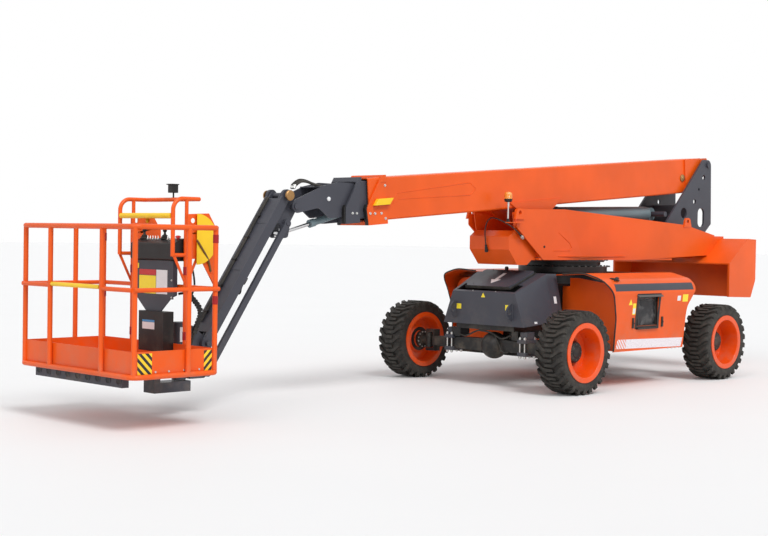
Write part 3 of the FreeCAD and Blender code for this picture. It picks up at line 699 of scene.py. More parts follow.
def bolts(name, spots, size, finish, body, slot="black_parts"):
    """Bolt heads at places that each have a facing."""
    if finish not in PATTERNS:
        PATTERNS[finish] = bolt_pattern(FINISHES[finish])
    points, faces = patterned(name, [p for p, _ in spots], [], PATTERNS[finish], {"Size": size},
                              [tuple(way) for _, way in spots])
    return Shape().add(points, faces).made(name, finish, body, slot)


def around(centre, axis, radius, count):
    """Places on a circle about an axis, facing along it."""
    ahead = axis.normalized()
    return [(spot, ahead) for spot in ring(centre, ahead, ahead.orthogonal().normalized(), radius, count)]


def energy_chain(name, points, pitch, width, height, finish, body):
    """An energy chain along a route, its links cut from the chain pattern."""
    settings = {"Pitch": pitch, "Width": width, "Height": height}
    made = evaluated(smooth_route(name, points), chain_pattern(FINISHES[finish]), settings)
    return Shape().add(*made).made(name, finish, body, "black_parts")


# ---- the turntable's cable ----

CABLE_ROUTE = [(-0.560, 0.306, 1.510), (-0.492, 0.314, 1.556), (-0.438, 0.280, 1.606),
               (-0.410, 0.200, 1.650), (-0.402, 0.120, 1.680), (-0.404, 0.040, 1.688),
               (-0.408, -0.014, 1.640), (-0.412, -0.038, 1.565), (-0.416, -0.038, 1.475),
               (-0.420, -0.026, 1.388)]
CABLE_DIAMETER = 0.012
RELIEF_LENGTH = 0.045
CABLE_PLUG = [(0, 0.007), (0.004, 0.011), (0.026, 0.011), (0.028, 0.015), (0.052, 0.015), (0.054, 0.018),
              (0.078, 0.018), (0.080, 0.012)]
CABLE_GLAND = [(0, 0.013), (0.018, 0.013), (0.020, 0.019), (0.034, 0.019), (0.036, 0.014), (0.050, 0.012)]


def smooth_route(name, points, bevel=0.0):
    """A NURBS curve that is drawn towards the points of a route."""
    curve = bpy.data.curves.new(name, "CURVE")
    curve.dimensions = "3D"
    line = curve.splines.new("NURBS")
    line.points.add(len(points) - 1)
    for place, point in zip(line.points, points):
        place.co = (*point, 1.0)
    line.order_u = 3
    line.use_endpoint_u = True
    line.resolution_u = 8
    curve.bevel_depth = bevel
    curve.bevel_resolution = 3
    curve.use_fill_caps = True
    return placed(name, curve)


def line_of(points):
    """The evaluated points of a route's smooth line."""
    return meshed(smooth_route("route", points))[0]


def sweep(line, radii, steps=16):
    """Vertices and faces of a closed tube along a line, with a radius at each of its points."""
    vertices = []
    side = (line[1] - line[0]).orthogonal().normalized()
    for i, point in enumerate(line):
        ahead = (line[min(i + 1, len(line) - 1)] - line[max(i - 1, 0)]).normalized()
        side = (side - ahead * side.dot(ahead)).normalized()
        vertices += ring(point, ahead, side, radii[i], steps)
    return vertices, tube_faces(len(line), steps)


def turntable_cable():
    """The free control cable over the front plate: a curve, its plug, its gland and its strain relief."""
    cable = smooth_route("control_cable", CABLE_ROUTE, CABLE_DIAMETER / 2)
    cable.data.materials.append(FINISHES["cable_rubber"])
    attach(cable, "turntable")
    line = line_of(CABLE_ROUTE)
    end, ahead = line[-1], (line[-1] - line[-2]).normalized()
    plug = Shape().turned(end - ahead * 0.030, ahead, CABLE_PLUG, 20)
    plug.made("cable_plug", "black_parts", "turntable", "black_parts", 40)
    out = (line[1] - line[0]).normalized()
    gland = Shape().turned(line[0] - out * 0.050, out, CABLE_GLAND, 6)
    gland.made("cable_gland", "zinc", "turntable", "chrome_rod", 30)
    cable_relief(line)


def cable_relief(line):
    """The sleeve round the cable's start: every other ring is a groove, and it narrows along the cable."""
    length, relief = 0.0, [line[0]]
    for point in line[1:]:
        length += (point - relief[-1]).length
        relief.append(point)
        if length > RELIEF_LENGTH:
            break
    count = len(relief) - 1
    thick, taper, groove = 0.0105, 0.0038, 0.0012
    radii = [thick - taper * i / count - (groove if i % 2 else 0.0) for i in range(count + 1)]
    sleeve = Shape().add(*sweep(relief, radii))
    sleeve.made("cable_relief", "cable_rubber", "turntable", "black_parts", 40)


# ---- tyres ----

# Tread bars on each side, then radii of the tread and its grooves and the start of the shoulder, in metres.
LUGS = 26
TREAD = 0.404
GROOVE = 0.377
SHOULDER = 0.140
CARCASS = [(0.268, -0.128), (0.276, -0.142), (0.300, -0.150), (0.335, -0.153), (0.360, -0.148),
           (0.374, -0.132), (0.380, -0.09), (0.382, 0.0), (0.380, 0.09), (0.374, 0.132), (0.360, 0.148),
           (0.335, 0.153), (0.300, 0.150), (0.276, 0.142), (0.268, 0.128)]
ARM = [(0.150, -0.006, 0.046), (0.128, 0.006, 0.044), (0.066, 0.058, 0.032), (0.040, 0.064, 0.029),
       (-0.046, 0.064, 0.026)]
FOOT = [(0.392, 0.150), (0.352, 0.153), (0.352, 0.140), (0.392, 0.120)]


def on_tread(radius, y, turn):
    """A place on a tyre about its own centre, turned round from its top."""
    return Vector((radius * math.sin(turn), y, radius * math.cos(turn)))


def lug(side, shift):
    """One tread bar: a block on the shoulder, a slanting arm and a cross bar past the tyre's middle."""
    rows = [(y, along + edge * width / 2, edge) for y, along, width in ARM for edge in (-1, 1)]
    vertices = []
    for radius, draft, chamfer in ((TREAD - 0.001, 0.0, 0.010), (GROOVE - 0.012, 0.006, 0.0)):
        for y, along, edge in rows:
            turn = (along + edge * draft) / TREAD + shift
            drop = chamfer if y > SHOULDER else 0.0
            vertices.append(on_tread(radius - drop, side * y, turn))
    count = len(rows)
    faces = []
    for a in range(0, count - 2, 2):
        faces.append((a, a + 1, a + 3, a + 2))
        faces.append((a, a + 2, a + 2 + count, a + count))
        faces.append((a + 1, a + 3, a + 3 + count, a + 1 + count))
    faces.append((count - 2, count - 1, 2 * count - 1, 2 * count - 2))
    start = len(vertices)
    for radius, y in FOOT:
        for edge in (-1, 1):
            turn = (-0.006 + edge * 0.023) / TREAD + shift
            vertices.append(on_tread(radius, side * y, turn))
    for a in (0, 2):
        faces.append((start + a, start + a + 1, start + a + 3, start + a + 2))
    faces.append((start, start + 2, start + 4, start + 6))
    faces.append((start + 1, start + 3, start + 5, start + 7))
    return vertices, faces


def tyres():
    """The four tyres: a carcass with its two staggered rows of tread bars."""
    rubber_finish = FINISHES["tyre_rubber"]
    lug_points, lug_faces = lug(1, 0.0)
    far_points, far_faces = lug(-1, math.pi / LUGS)
    faces = lug_faces + [tuple(i + len(lug_points) for i in f) for f in far_faces]
    bars, bar_faces = patterned("tread_bars", lug_points + far_points, faces, ring_pattern(rubber_finish),
                                {"Count": LUGS})
    for end in ("front", "rear"):
        for side in ("left", "right"):
            low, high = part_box(f"{end}_{side}_tyre")
            centre = (Vector(low) + Vector(high)) / 2
            tyre = Shape().add(*revolved(CARCASS, 96, centre)).add([p + centre for p in bars], bar_faces)
            tyre = tyre.made(f"{end}_{side}_tread", "tyre_rubber", f"{end}_{side}_wheel", "tyre_rubber", 35)
            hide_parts(f"{end}_{side}_tyre")


# ---- wheels and axles ----

AXLE_X = 1245
WHEEL_Y = 1050
WHEEL_Z = 404
HUB_CAP = [(-0.072, 0.060), (-0.072, 0.124), (-0.060, 0.126), (-0.056, 0.110), (0.014, 0.106),
           (0.026, 0.099), (0.034, 0.090), (0.036, 0.056), (0.042, 0.050), (0.044, 0.020), (0.044, 0.004)]
REAR_FLANGE = [(0, 0.088), (0.004, 0.092), (0.040, 0.092), (0.044, 0.088), (0.050, 0.066), (0.130, 0.060)]
STEERING_HOSES = [
    (0.009, [(1312, 330, 520), (1335, 250, 470), (1322, 150, 500), (1318, 60, 545), (1318, -90, 548)]),
    (0.008, [(1312, -360, 500), (1335, -260, 470), (1322, -170, 520), (1318, -60, 560), (1318, 60, 562)]),
    (0.007, [(1312, 300, 350), (1326, 230, 330), (1322, 190, 420), (1318, 120, 520)])]


def hub_covers():
    """The black cap over each hub, its ring of wheel nuts and the small bolts of its face."""
    for end, x in (("front", AXLE_X), ("rear", -AXLE_X)):
        for side, sign in SIDES:
            out = sideways(sign)
            centre = at(x, sign * WHEEL_Y, WHEEL_Z)
            body = f"{end}_{side}_wheel"
            cap = Shape().turned(centre, out, HUB_CAP, 40)
            valve = centre + UP * 0.205 + out * 0.02
            cap.rod(valve, centre + UP * 0.214 + out * 0.06, 0.005)
            cap.made(f"{end}_{side}_hub_cap", "black_parts", body, "black_parts", 35)
            nuts = around(centre - out * 0.057, out, 0.1155, 10)
            bolts(f"{end}_{side}_wheel_nuts", nuts, 0.0085, "zinc", body)
            heads = around(centre + out * 0.037, out, 0.074, 8)
            bolts(f"{end}_{side}_hub_bolts", heads, 0.0055, "cast_iron", body)


def hub_studs():
    """The studs on the inner face of each hub, and the flanges at the ends of the rear axle."""
    flanges = Shape()
    for side, sign in SIDES:
        inward = sideways(-sign)
        flanges.turned(at(-AXLE_X, sign * 944, WHEEL_Z), inward, REAR_FLANGE, 32)
        front = around(at(AXLE_X, sign * 921, WHEEL_Z), inward, 0.078, 12)
        bolts(f"front_{side}_studs", front, 0.008, "zinc", f"{side}_knuckle")
        rear = around(at(-AXLE_X, sign * 900, WHEEL_Z), inward, 0.076, 12)
        bolts(f"rear_{side}_studs", rear, 0.008, "zinc", "chassis")
    flanges.made("rear_hub_flanges", "slate_paint", "chassis", "slate_paint", 35)


def axle_clamps():
    """The seats above and below each axle with the bright studs and nuts that clamp them."""
    half_long, half_upper = 92, 60
    studs, seats, spots = Shape(), Shape(), []
    for x in (AXLE_X, -AXLE_X):
        for _, sign in SIDES:
            y0, y1 = sorted((sign * 430, sign * 538))
            seats.block(at(x - half_long, y0, 448), at(x + half_long, y1, 486))
            seats.block(at(x - half_long, y0, 322), at(x + half_long, y1, 361))
            seats.block(at(x - half_upper, y0 + 12, 486), at(x + half_upper, y1 - 12, 560))
            for y in (sign * 454, sign * 514):
                for along in (x - 73, x + 73):
                    studs.rod(at(along, y, 296), at(along, y, 512), 0.0085, 12)
                    spots += [(at(along, y, 495), UP), (at(along, y, 313), DOWN)]
    seats.made("axle_seats", "slate_paint", "chassis", "slate_paint", None, 0.003)
    studs.made("axle_studs", "zinc", "chassis", "chrome_rod", 40)
    bolts("axle_nuts", spots, 0.0145, "zinc", "chassis", "chrome_rod")


def steering_hoses():
    """The hoses in front of the front axle, to the steering cylinder."""
    hoses = Shape()
    for radius, route in STEERING_HOSES:
        hoses.hose([at(*place) for place in route], radius)
    hoses.made("steering_hoses", "cable_rubber", "chassis", "black_parts", 50)


# ---- hood and lid ----

LID_HINGE = (930, 1130)
LID_SLOPE = math.atan2(190, 432)
LID_LONG = 400
EYE_OUTLINE = [(1352, 668), (1392, 668), (1436, 716), (1446, 752), (1436, 790), (1396, 832), (1352, 832)]
STUB_PROFILE = [(0, 0.022), (0.006, 0.022), (0.008, 0.010), (0.040, 0.010), (0.044, 0.019), (0.072, 0.022),
                (0.086, 0.016), (0.090, 0.002)]


def hood_plates():
    """The blank yellow and white plates of the hood and its two top bolts."""
    def ahead(y, z):
        return at(1500, y, z)

    yellow = Shape()
    for y0, y1, z in ((-353, -292, 758), (292, 353, 770)):
        wrap(yellow, "front_body", rectangle(ahead, y0, y1, z, z + 52), BACKWARD)
    wrap(yellow, "front_body", [ahead(-27, 886), ahead(27, 886), ahead(1, 930), ahead(-1, 930)], BACKWARD)
    yellow.made("hood_yellow_plates", "yellow_plate", "chassis", "yellow_paint")
    white = Shape()
    for _, sign in SIDES:
        def beside(x, z):
            return at(x, sign * 700, z)

        wrap(white, "front_body", rectangle(beside, 870, 828, 835, 905), sideways(-sign))
        wrap(white, "front_body", rectangle(beside, 1198, 1160, 642, 662), sideways(-sign))
    white.made("hood_white_plates", "white_plate", "chassis", "slate_paint")
    spots = [(touch("front_body", at(1345, y, 1200), DOWN), Vector((0.4, 0, 0.92))) for y in (-150, 150)]
    bolts("hood_bolts", spots, 0.007, "zinc", "chassis")


def tie_down_eyes():
    """The two plates with a hole that stand forward of the hood, and their welds."""
    thick = 0.020
    eyes = Shape()
    for _, sign in SIDES:
        y = sign * 364
        eyes.holed(in_plane(y, EYE_OUTLINE), at(1404, y, 752), 0.026, sideways(sign * thick))
        for weld in (sign * 362, sign * 386):
            eyes.rod(at(1362, weld, 684), at(1362, weld, 820), 0.004, 8)
    eyes.made("tie_down_eyes", "slate_paint", "chassis", "slate_paint", 30)


def deck_stub():
    """The short black stub with a flange and a knob on the chassis deck."""
    stub = Shape().turned(at(300, -590, 1088), UP, STUB_PROFILE, 20)
    stub.made("deck_stub", "black_parts", "chassis", "black_parts", 40)


def lid_gap_shade():
    """Black strips below the lid's front and side edges: painted shade of the gap under the lid."""
    hinge_x, hinge_z = LID_HINGE

    def on_lid(along, y, up):
        return at(hinge_x + along * math.cos(LID_SLOPE) + up * math.sin(LID_SLOPE), y,
                  hinge_z - along * math.sin(LID_SLOPE) + up * math.cos(LID_SLOPE))

    edge_strip = Shape()
    # These black strips paint the shadow in the gap under the lid's edges.
    front = rectangle(lambda y, up: on_lid(LID_LONG, y, up), -289, 289, 2, 32)
    edge_strip.slab(front, on_lid(LID_LONG + 4, 0, 0) - on_lid(LID_LONG, 0, 0))
    for _, sign in SIDES:
        rear, fore = sign * 331, sign * 291
        edge = [on_lid(12, rear, 3), on_lid(398, fore, 3), on_lid(398, fore, 20), on_lid(12, rear, 20)]
        edge_strip.slab(edge, sideways(sign * 0.004))
    edge_strip.made("lid_gap_shade", "cable_rubber", "front_lid", "black_parts", None, 0.0008)


def lid_arrow():
    """The plain white arrow on the lid, which points forwards."""
    def above(along, y):
        return at(LID_HINGE[0] + along, y, 1300)

    tail, neck, tip = 95, 235, 315
    arrow = Shape()
    wrap(arrow, "front_lid", [above(tail, -22), above(tail, 22), above(neck, 22), above(neck, -22)], DOWN)
    wrap(arrow, "front_lid", [above(neck, -62), above(neck, 62), above(tip, 2), above(tip, -2)], DOWN)
    arrow.made("lid_arrow", "white_plate", "front_lid", "slate_paint")


def lid_bolts():
    """The four bolts of the lid, square to its slope."""
    spots = [(touch("front_lid", at(x, y, 1300), DOWN), Vector((0.39, 0, 0.92)))
             for x in (960, 1265) for y in (-215, 215)]
    bolts("lid_bolts", spots, 0.006, "cast_iron", "front_lid")


# ---- side covers ----

PANE_Y = 1062
OPENING = (-102, 252, 618, 917)
STRIP = 32
VISOR = [(944, 1096), (920, 1138), (912, 1138), (918, 1100)]
SILL = [(608, 1068), (600, 1104), (586, 1104), (584, 1070)]
PULL_LATCH = [(610, 1062), (560, 1050), (520, 1036)]


def first_touch(node, starts, direction, lift):
    """The first of some lines that meets a node's surface."""
    for start in starts:
        if surface(node).ray_cast(start, direction)[0] is not None:
            return touch(node, start, direction, lift)
    raise ValueError(f"nothing of {node} lies on these lines")


def cover_edge(sign, node):
    """Places along the front edge of a cover, from its foot up and over its top."""
    front = [first_touch(node, [at(x, sign * 1300, z) for x in range(900, 500, -3)], sideways(-sign), 0.001)
             for z in range(380, 1050, 45)]
    top = [first_touch(node, [at(x, sign * y, 1400) for x in range(960, 500, -3)], DOWN, 0.001)
           for y in range(1060, 540, -60)]
    return front + top


def beside_cover(sign):
    """A function that makes places outside a cover, from which lines go inwards to it."""
    return lambda x, z: at(x, sign * 1400, z)


def cover_trim(side, sign, cover):
    """A cover's front edge seal, slate band and reflective tape."""
    out, inward = beside_cover(sign), sideways(-sign)
    edge = Shape().hose(cover_edge(sign, cover), 0.0075, 10)
    edge.made(f"{side}_cover_seal", "cable_rubber", cover, "black_parts", 50)
    band = [out(648, 975), out(-738, 975), out(-724, 1048), out(656, 1046)]
    band = wrap(Shape(), cover, band, inward, 40, 6)
    band.made(f"{side}_cover_band", "slate_paint", cover, "slate_paint", 40)
    tape = [out(592, 402), out(-560, 382), out(-588, 474), out(566, 494)]
    tape = wrap(Shape(), cover, tape, inward, 40, 4)
    tape.made(f"{side}_cover_tape", "silver_tape", cover, "orange_paint", 40)


def cover_plates(side, sign, cover):
    """A cover's blank yellow, white and grey plates."""
    out, inward = beside_cover(sign), sideways(-sign)
    yellow = Shape()
    wrap(yellow, cover, rectangle(out, 344, 292, 736, 850), inward)
    wrap(yellow, cover, rectangle(out, -538, -636, 850, 926), inward)
    wrap(yellow, cover, [out(420, 836), out(356, 836), out(387, 892), out(389, 892)], inward)
    yellow.made(f"{side}_cover_yellow_plates", "yellow_plate", cover, "yellow_paint")
    field = wrap(Shape(), cover, rectangle(out, 338, 298, 746, 800), inward, 8, 3, 0.0018)
    field.made(f"{side}_cover_plate_field", "white_plate", cover, "slate_paint")
    grey = wrap(Shape(), cover, rectangle(out, -440, -500, 862, 914), inward)
    grey.made(f"{side}_cover_grey_plate", "white_plate", cover, "slate_paint")


def window(side, sign, cover):
    """A window's smoked pane, its frame and its rubber seal."""
    def plane(x, z, y=PANE_Y):
        return at(x, sign * y, z)

    x0, x1, z0, z1 = OPENING
    pane = Shape().slab(rectangle(plane, x0 - 6, x1 + 6, z0 - 8, z1 + 5), sideways(sign * 0.004))
    pane.made(f"{side}_window_pane", "glass", cover, "black_parts", None, 0.001)
    frame_parts = Shape()
    low, high = z0 - 28, z1 + 29
    strips = [(x1, x1 + STRIP, low, high), (x0 - STRIP, x0, low, high), (x0, x1, z1, high), (x0, x1, low, z0)]
    for strip in strips:
        wrap(frame_parts, cover, rectangle(beside_cover(sign), *strip), sideways(-sign), 4, 8, 0.003)
    for x in (-100, 246):
        near, far = sorted((sign * PANE_Y, sign * 1092))
        frame_parts.block(at(x, near, 622), at(x + 5, far, 912))
    frame_parts.made(f"{side}_window_frame", "black_parts", cover, "black_parts", 40)
    edge_strip = Shape()
    spots = rectangle(lambda x, z: plane(x, z, 1068), -93, 243, 624, 908)
    for k, spot in enumerate(spots):
        edge_strip.rod(spot, spots[(k + 1) % 4], 0.006, 8)
    edge_strip.made(f"{side}_window_seal", "cable_rubber", cover, "black_parts", 50)


def window_sill(side, sign, cover):
    """The visor over a window and the sill below it with its row of studs."""
    section = [at(-140, sign * y, z) for z, y in VISOR]
    visor = Shape().slab(section, at(290, 0, 0) - at(-140, 0, 0))
    visor.made(f"{side}_window_visor", "cast_iron", cover, "slate_paint", None, 0.0015)
    section = [at(-104, sign * y, z) for z, y in SILL]
    sill = Shape().slab(section, at(256, 0, 0) - at(-104, 0, 0))
    sill.made(f"{side}_window_sill", "black_parts", cover, "black_parts", None, 0.0015)
    studs = [(at(x, sign * 1105, 593), sideways(sign)) for x in range(-88, 252, 30)]
    bolts(f"{side}_sill_slots", studs, 0.004, "cast_iron", cover)


def cover_latches(side, sign, cover):
    """The two paddle latches beside a cover's window."""
    latches = Shape()
    for x in (-190, 322):
        spot = touch(cover, beside_cover(sign)(x, 652), sideways(-sign))
        near, far = sorted((sign * 0.012, -sign * 0.004))
        latches.block(spot + Vector((-0.014, near, -0.052)), spot + Vector((0.014, far, 0.052)))
        latches.rod(spot, spot + sideways(sign * 0.020), 0.010, 16)
    latches.made(f"{side}_cover_latches", "black_parts", cover, "black_parts", None, 0.0015)


def pull_latch(side, sign, cover):
    """The black pull latch on top of a cover: a base, a bent lever and a cross handle."""
    heel, middle, toe = [touch(cover, at(x, sign * y, 1400), DOWN, 0.006) for x, y in PULL_LATCH]
    lever = Shape().hose([heel, heel + UP * 0.022, middle + UP * 0.020, toe + UP * 0.004], 0.010, 10)
    lever.hose([heel + Vector((0.02, -sign * 0.050, 0.018)), heel + UP * 0.024,
                heel + Vector((-0.02, sign * 0.030, 0.004))], 0.009, 10)
    lever.turned(middle - UP * 0.010, UP, [(0, 0.026), (0.008, 0.026), (0.012, 0.018)], 20)
    lever.made(f"{side}_cover_latch", "black_parts", cover, "black_parts", 45)


def foot_bolts(side, sign, cover):
    """The four bolts under the rear of a cover's foot."""
    foot = [(at(x, sign * 1068, 372), DOWN) for x in (-330, -400, -470, -540)]
    bolts(f"{side}_cover_foot_bolts", foot, 0.008, "zinc", cover)


def covers():
    """Everything on both side covers."""
    for side, sign in SIDES:
        for details in (cover_trim, cover_plates, window, window_sill, cover_latches, pull_latch, foot_bolts):
            details(side, sign, f"{side}_cover")


# ---- turntable ----

TURNTABLE_SEAM = [(559, 1552), (368, 1440), (330, 1390), (365, 1364), (640, 1362)]


def turntable_details():
    """The side plates' formed edge, the weld at their foot and their plugs."""
    lines, plugs = Shape(), Shape()
    for _, sign in SIDES:
        inward = sideways(-sign)
        seam = in_plane(sign * 900, TURNTABLE_SEAM)
        spots = [touch("turntable_frame", place, inward, 0.001) for place in seam]
        for a, b in zip(spots, spots[1:]):
            lines.rod(a, b, 0.0035, 8)
        foot = in_plane(sign * 900, [(560, 1305), (-560, 1305)])
        low = [touch("turntable_frame", place, inward, 0.001) for place in foot]
        lines.rod(low[0], low[1], 0.005, 8)
        plug = touch("turntable_frame", at(789, sign * 900, 1402), inward)
        plugs.turned(plug, sideways(sign), [(-0.002, 0.012), (0.005, 0.012), (0.008, 0.008)], 16)
    lines.made("turntable_seams", "orange_paint", "turntable", "orange_paint", 60)
    plugs.made("turntable_plugs", "black_parts", "turntable", "black_parts", 40)


def slew_bolts():
    """The rings of bolts on the slewing ring, below on the chassis and above on the turntable."""
    bolts("slew_ring_bolts", around(at(0, 0, 1200), UP, 0.445, 40), 0.010, "cast_iron", "chassis")
    bolts("slew_drive_bolts", around(at(0, 0, 1266), UP, 0.425, 36), 0.008, "cast_iron", "turntable")


BEACON_STEM = [(-0.001, 0.008), (0.150, 0.008), (0.152, 0.012), (0.205, 0.012)]
BEACON_FOOT = [(0, 0.020), (0.004, 0.022), (0.012, 0.022), (0.018, 0.012), (0.034, 0.011)]
BEACON_COLLAR = [(0, 0.016), (0.004, 0.034), (0.008, 0.038), (0.020, 0.038), (0.024, 0.042),
                 (0.030, 0.042), (0.032, 0.038)]
BEACON_DOME = [(0.058, 0.036), (0.066, 0.029), (0.071, 0.016), (0.072, 0.003)]


def beacon_lamp():
    """The warning lamp: its bracket, a bright stem in a black foot, a black collar and a ribbed lens."""
    bracket = Shape()
    bracket.block(at(1190, 314, 1634), at(1410, 352, 1642))
    bracket.block(at(1190, 314, 1600), at(1240, 320, 1642))
    bracket.made("beacon_bracket", "orange_paint", "turntable", "orange_paint", None, 0.001)
    foot = at(1390, 330, 1642)
    stem = Shape().turned(foot, UP, BEACON_STEM, 20)
    stem.made("beacon_stem", "zinc", "turntable", "chrome_rod", 40)
    black = Shape().turned(foot, UP, BEACON_FOOT, 24).turned(foot + UP * 0.196, UP, BEACON_COLLAR, 32)
    black.made("beacon_foot", "black_parts", "turntable", "black_parts", 35)
    ribs = [(0.003 + 0.006 * k, 0.040 if k % 2 else 0.0375) for k in range(9)]
    lens = Shape().turned(foot + UP * 0.226, UP, [(0, 0.037)] + ribs + BEACON_DOME, 32)
    lens = lens.made("beacon_lens", "amber_lens", "turntable", "amber_lens", 40)
    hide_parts("beacon")


# ---- boom ----

COLLAR_Y = 204
STEP = [(5246, -107), (5435, -107), (5485, -165), (5298, -165)]
# Outline of the dark red sheet under each step: painted shade below the step.
STEP_SHADE_SHEET = [(5300, -166), (5484, -166), (5480, -171), (5304, -171)]
COLLAR_BAR = [(5305, 60), (5388, 60), (5560, -180), (5548, -200), (5380, 40), (5305, 40)]
BASE_PAD = [(5548, -150), (5572, -186), (5556, -338), (5546, -338)]
MID_PAD = [(5788, -140), (5806, -172), (5814, -306), (5800, -306)]
BASE_BOLTS = [(5320, 10), (5330, -290), (5522, -234), (5462, -238), (5380, -240)]
MID_BOLTS = [(5711, -220), (5660, -224)]
WELD_RUNS = [((5156, -68), (4138, -19)), ((5140, -123), (4145, -140)), ((5210, -159), (5156, -68)),
             ((4138, -19), (4060, -80)), ((4060, -80), (4145, -140))]
TRACK = [(5352, 88), (5352, 80), (5566, 80), (5566, 88)]
BOOM_CAP = [(-0.004, 0.042), (0.010, 0.042), (0.014, 0.037), (0.016, 0.020), (0.020, 0.017), (0.022, 0.006)]
KNUCKLE_CAP = [(-0.004, 0.046), (0.010, 0.046), (0.016, 0.040), (0.018, 0.014), (0.020, 0.006)]
NOSE_CAP = [(-0.002, 0.019), (0.008, 0.019), (0.012, 0.013), (0.013, 0.004)]


def boom_side(points, y):
    """Places along the boom at one distance from its middle."""
    return [on_boom(along, up, y) for along, up in points]


def side_bolts(node, points):
    """Places on both sides of a boom part, with the way out from each."""
    return [(touch(node, place, sideways(-sign)), sideways(sign))
            for _, sign in SIDES for place in boom_side(points, sign * 400)]


def side_plates(name, outline, y, thick, finish, body, slot, rounded=0.0010):
    """A plate on both sides of the boom, from its outline and the half width that it stands on."""
    plates = Shape()
    for _, sign in SIDES:
        plates.slab(boom_side(outline, sign * y), sideways(sign * thick))
    plates.made(name, finish, body, slot, None, rounded)


def collar_details():
    """The guide pads' bolts on both collars, the yellow steps with a dark red sheet under each as painted
    shade, and the wear pads.
    """
    spots = side_bolts("base_collar", BASE_BOLTS)
    bolts("base_collar_bolts", spots, 0.011, "zinc", "boom_base", "chrome_rod")
    spots = side_bolts("boom_mid", MID_BOLTS)
    bolts("mid_collar_bolts", spots, 0.010, "zinc", "boom_mid", "chrome_rod")
    side_plates("collar_steps", STEP, COLLAR_Y - 1, 0.038, "yellow_paint", "boom_base", "yellow_paint",
                0.0015)
    # The dark red sheet under each yellow step is painted shade, standing for the shadow below the step.
    side_plates("collar_step_painted_shade", STEP_SHADE_SHEET, COLLAR_Y, 0.036, "red_paint_and_painted_shade", "boom_base",
                "yellow_paint", 0.0008)
    side_plates("collar_edge_bars", COLLAR_BAR, COLLAR_Y, 0.005, "orange_paint", "boom_base", "orange_paint")
    side_plates("base_guide_pads", BASE_PAD, 166, 0.036, "black_parts", "boom_base", "black_parts")
    side_plates("mid_guide_pads", MID_PAD, 136, 0.034, "black_parts", "boom_mid", "black_parts")


def boom_lines():
    """The boom's long weld beads, its top wear tracks and the bronze caps at its root."""
    beads, track, caps = Shape(), Shape(), Shape()
    for _, sign in SIDES:
        for run in WELD_RUNS:
            start, end = boom_side(run, sign * 500)
            beads.rod(touch("boom_base", start, sideways(-sign), 0.0005),
                      touch("boom_base", end, sideways(-sign), 0.0005), 0.003, 8)
        cap = touch("boom_base", at(-1885, sign * 900, 2212), sideways(-sign))
        caps.turned(cap, sideways(sign), BOOM_CAP, 28)
    for y in (-70, 70):
        track.slab(boom_side(TRACK, y), sideways(0.014))
    beads.made("boom_weld_beads", "orange_paint", "boom_base", "orange_paint", 60)
    track.made("boom_top_track", "black_parts", "boom_base", "black_parts", None, 0.001)
    caps.made("boom_pin_caps", "bronze", "boom_base", "orange_paint", 35)


def nose_hoses():
    """Hoses that leave the boom's nose and loop down to the jib, and their fittings."""
    hoses, ends = Shape(), Shape()
    for y, rise in ((60, 0), (44, 8), (76, -8)):
        loop = [(5900, 24), (6040, 46 + rise), (6150, 92 + rise), (6240, 96 + rise), (6300, 50 + rise)]
        hoses.hose(boom_side(loop, y), 0.010)
    for y in (44, 60, 76):
        ends.rod(on_boom(6285, 62, y), on_boom(6306, 30, y), 0.013, 12)
    hoses.made("nose_hoses", "cable_rubber", "boom_tip", "black_parts", 50)
    ends.made("nose_hose_ends", "zinc", "boom_tip", "chrome_rod", 40)


def nose_caps():
    """The bronze caps of the jib's top pin and the white caps beside them on the boom's nose."""
    pin_x, pin_z = JIB_TOP
    caps, white = Shape(), Shape()
    for _, sign in SIDES:
        out = sideways(sign)
        caps.turned(touch("jib_knuckle", at(pin_x, sign * 600, pin_z), -out), out, KNUCKLE_CAP, 28)
        white.turned(touch("boom_nose", on_boom(5957, -79, sign * 600), -out), out, NOSE_CAP, 20)
    caps.made("knuckle_pin_caps", "bronze", "jib_knuckle", "orange_paint", 35)
    white.made("nose_white_caps", "white_plate", "boom_tip", "slate_paint", 35)


# ---- jib ----

JIB_UP = Vector((math.sin(math.atan2(-JIB_AHEAD[1], JIB_AHEAD[0])), 0, JIB_AHEAD[0]))
JIB_LONG = (56, 1330)
PIPE_UP = -92


def jib_height():
    """How far the top of the jib's bars stands above the line of its pins, in millimetres."""
    bar = 99
    top = touch("jib_beam", on_jib(700, 300, bar), -JIB_UP)
    return (top - on_jib(700, 0, bar)).dot(JIB_UP) * 1000


def jib_plates(height):
    """The plates that close the gap between the jib's bars."""
    start, end = JIB_LONG
    plates = Shape()
    plates.slab(rectangle(lambda a, y: on_jib(a, height - 9, y), start, end, -85, 85), JIB_UP * 0.006)
    for y in (-86, 80):
        side = rectangle(lambda a, u: on_jib(a, u, y), start, end, height - 9, height - 30)
        plates.slab(side, sideways(0.006))
    plates.made("jib_plates", "slate_paint", "jib", "slate_paint", None, 0.0008)


def jib_cylinder_pipes():
    """The two pipes on the jib cylinder, the valve at their end and the short hose beyond it."""
    pipes = Shape()
    for y in (16, -16):
        pipes.rod(on_jib(410, PIPE_UP, y), on_jib(790, PIPE_UP, y), 0.008, 12)
        pipes.rod(on_jib(410, PIPE_UP, y), on_jib(410, -66, y), 0.009, 12)
    pipes.made("jib_cylinder_pipes", "cylinder_paint", "jib_barrel", "cylinder_paint", 50)
    block = rectangle(lambda a, u: on_jib(a, u, -30), 786, 850, -74, -112)
    valve = Shape().slab(block, sideways(0.060))
    valve.made("jib_valve", "cast_iron", "jib_barrel", "black_parts", None, 0.002)
    route = [(846, -96, 16), (890, -100, 18), (936, -122, 18), (950, -92, 14), (948, -70, 8)]
    loops = Shape().hose([on_jib(*place) for place in route], 0.008)
    loops.made("jib_cylinder_hoses", "cable_rubber", "jib_barrel", "black_parts", 50)


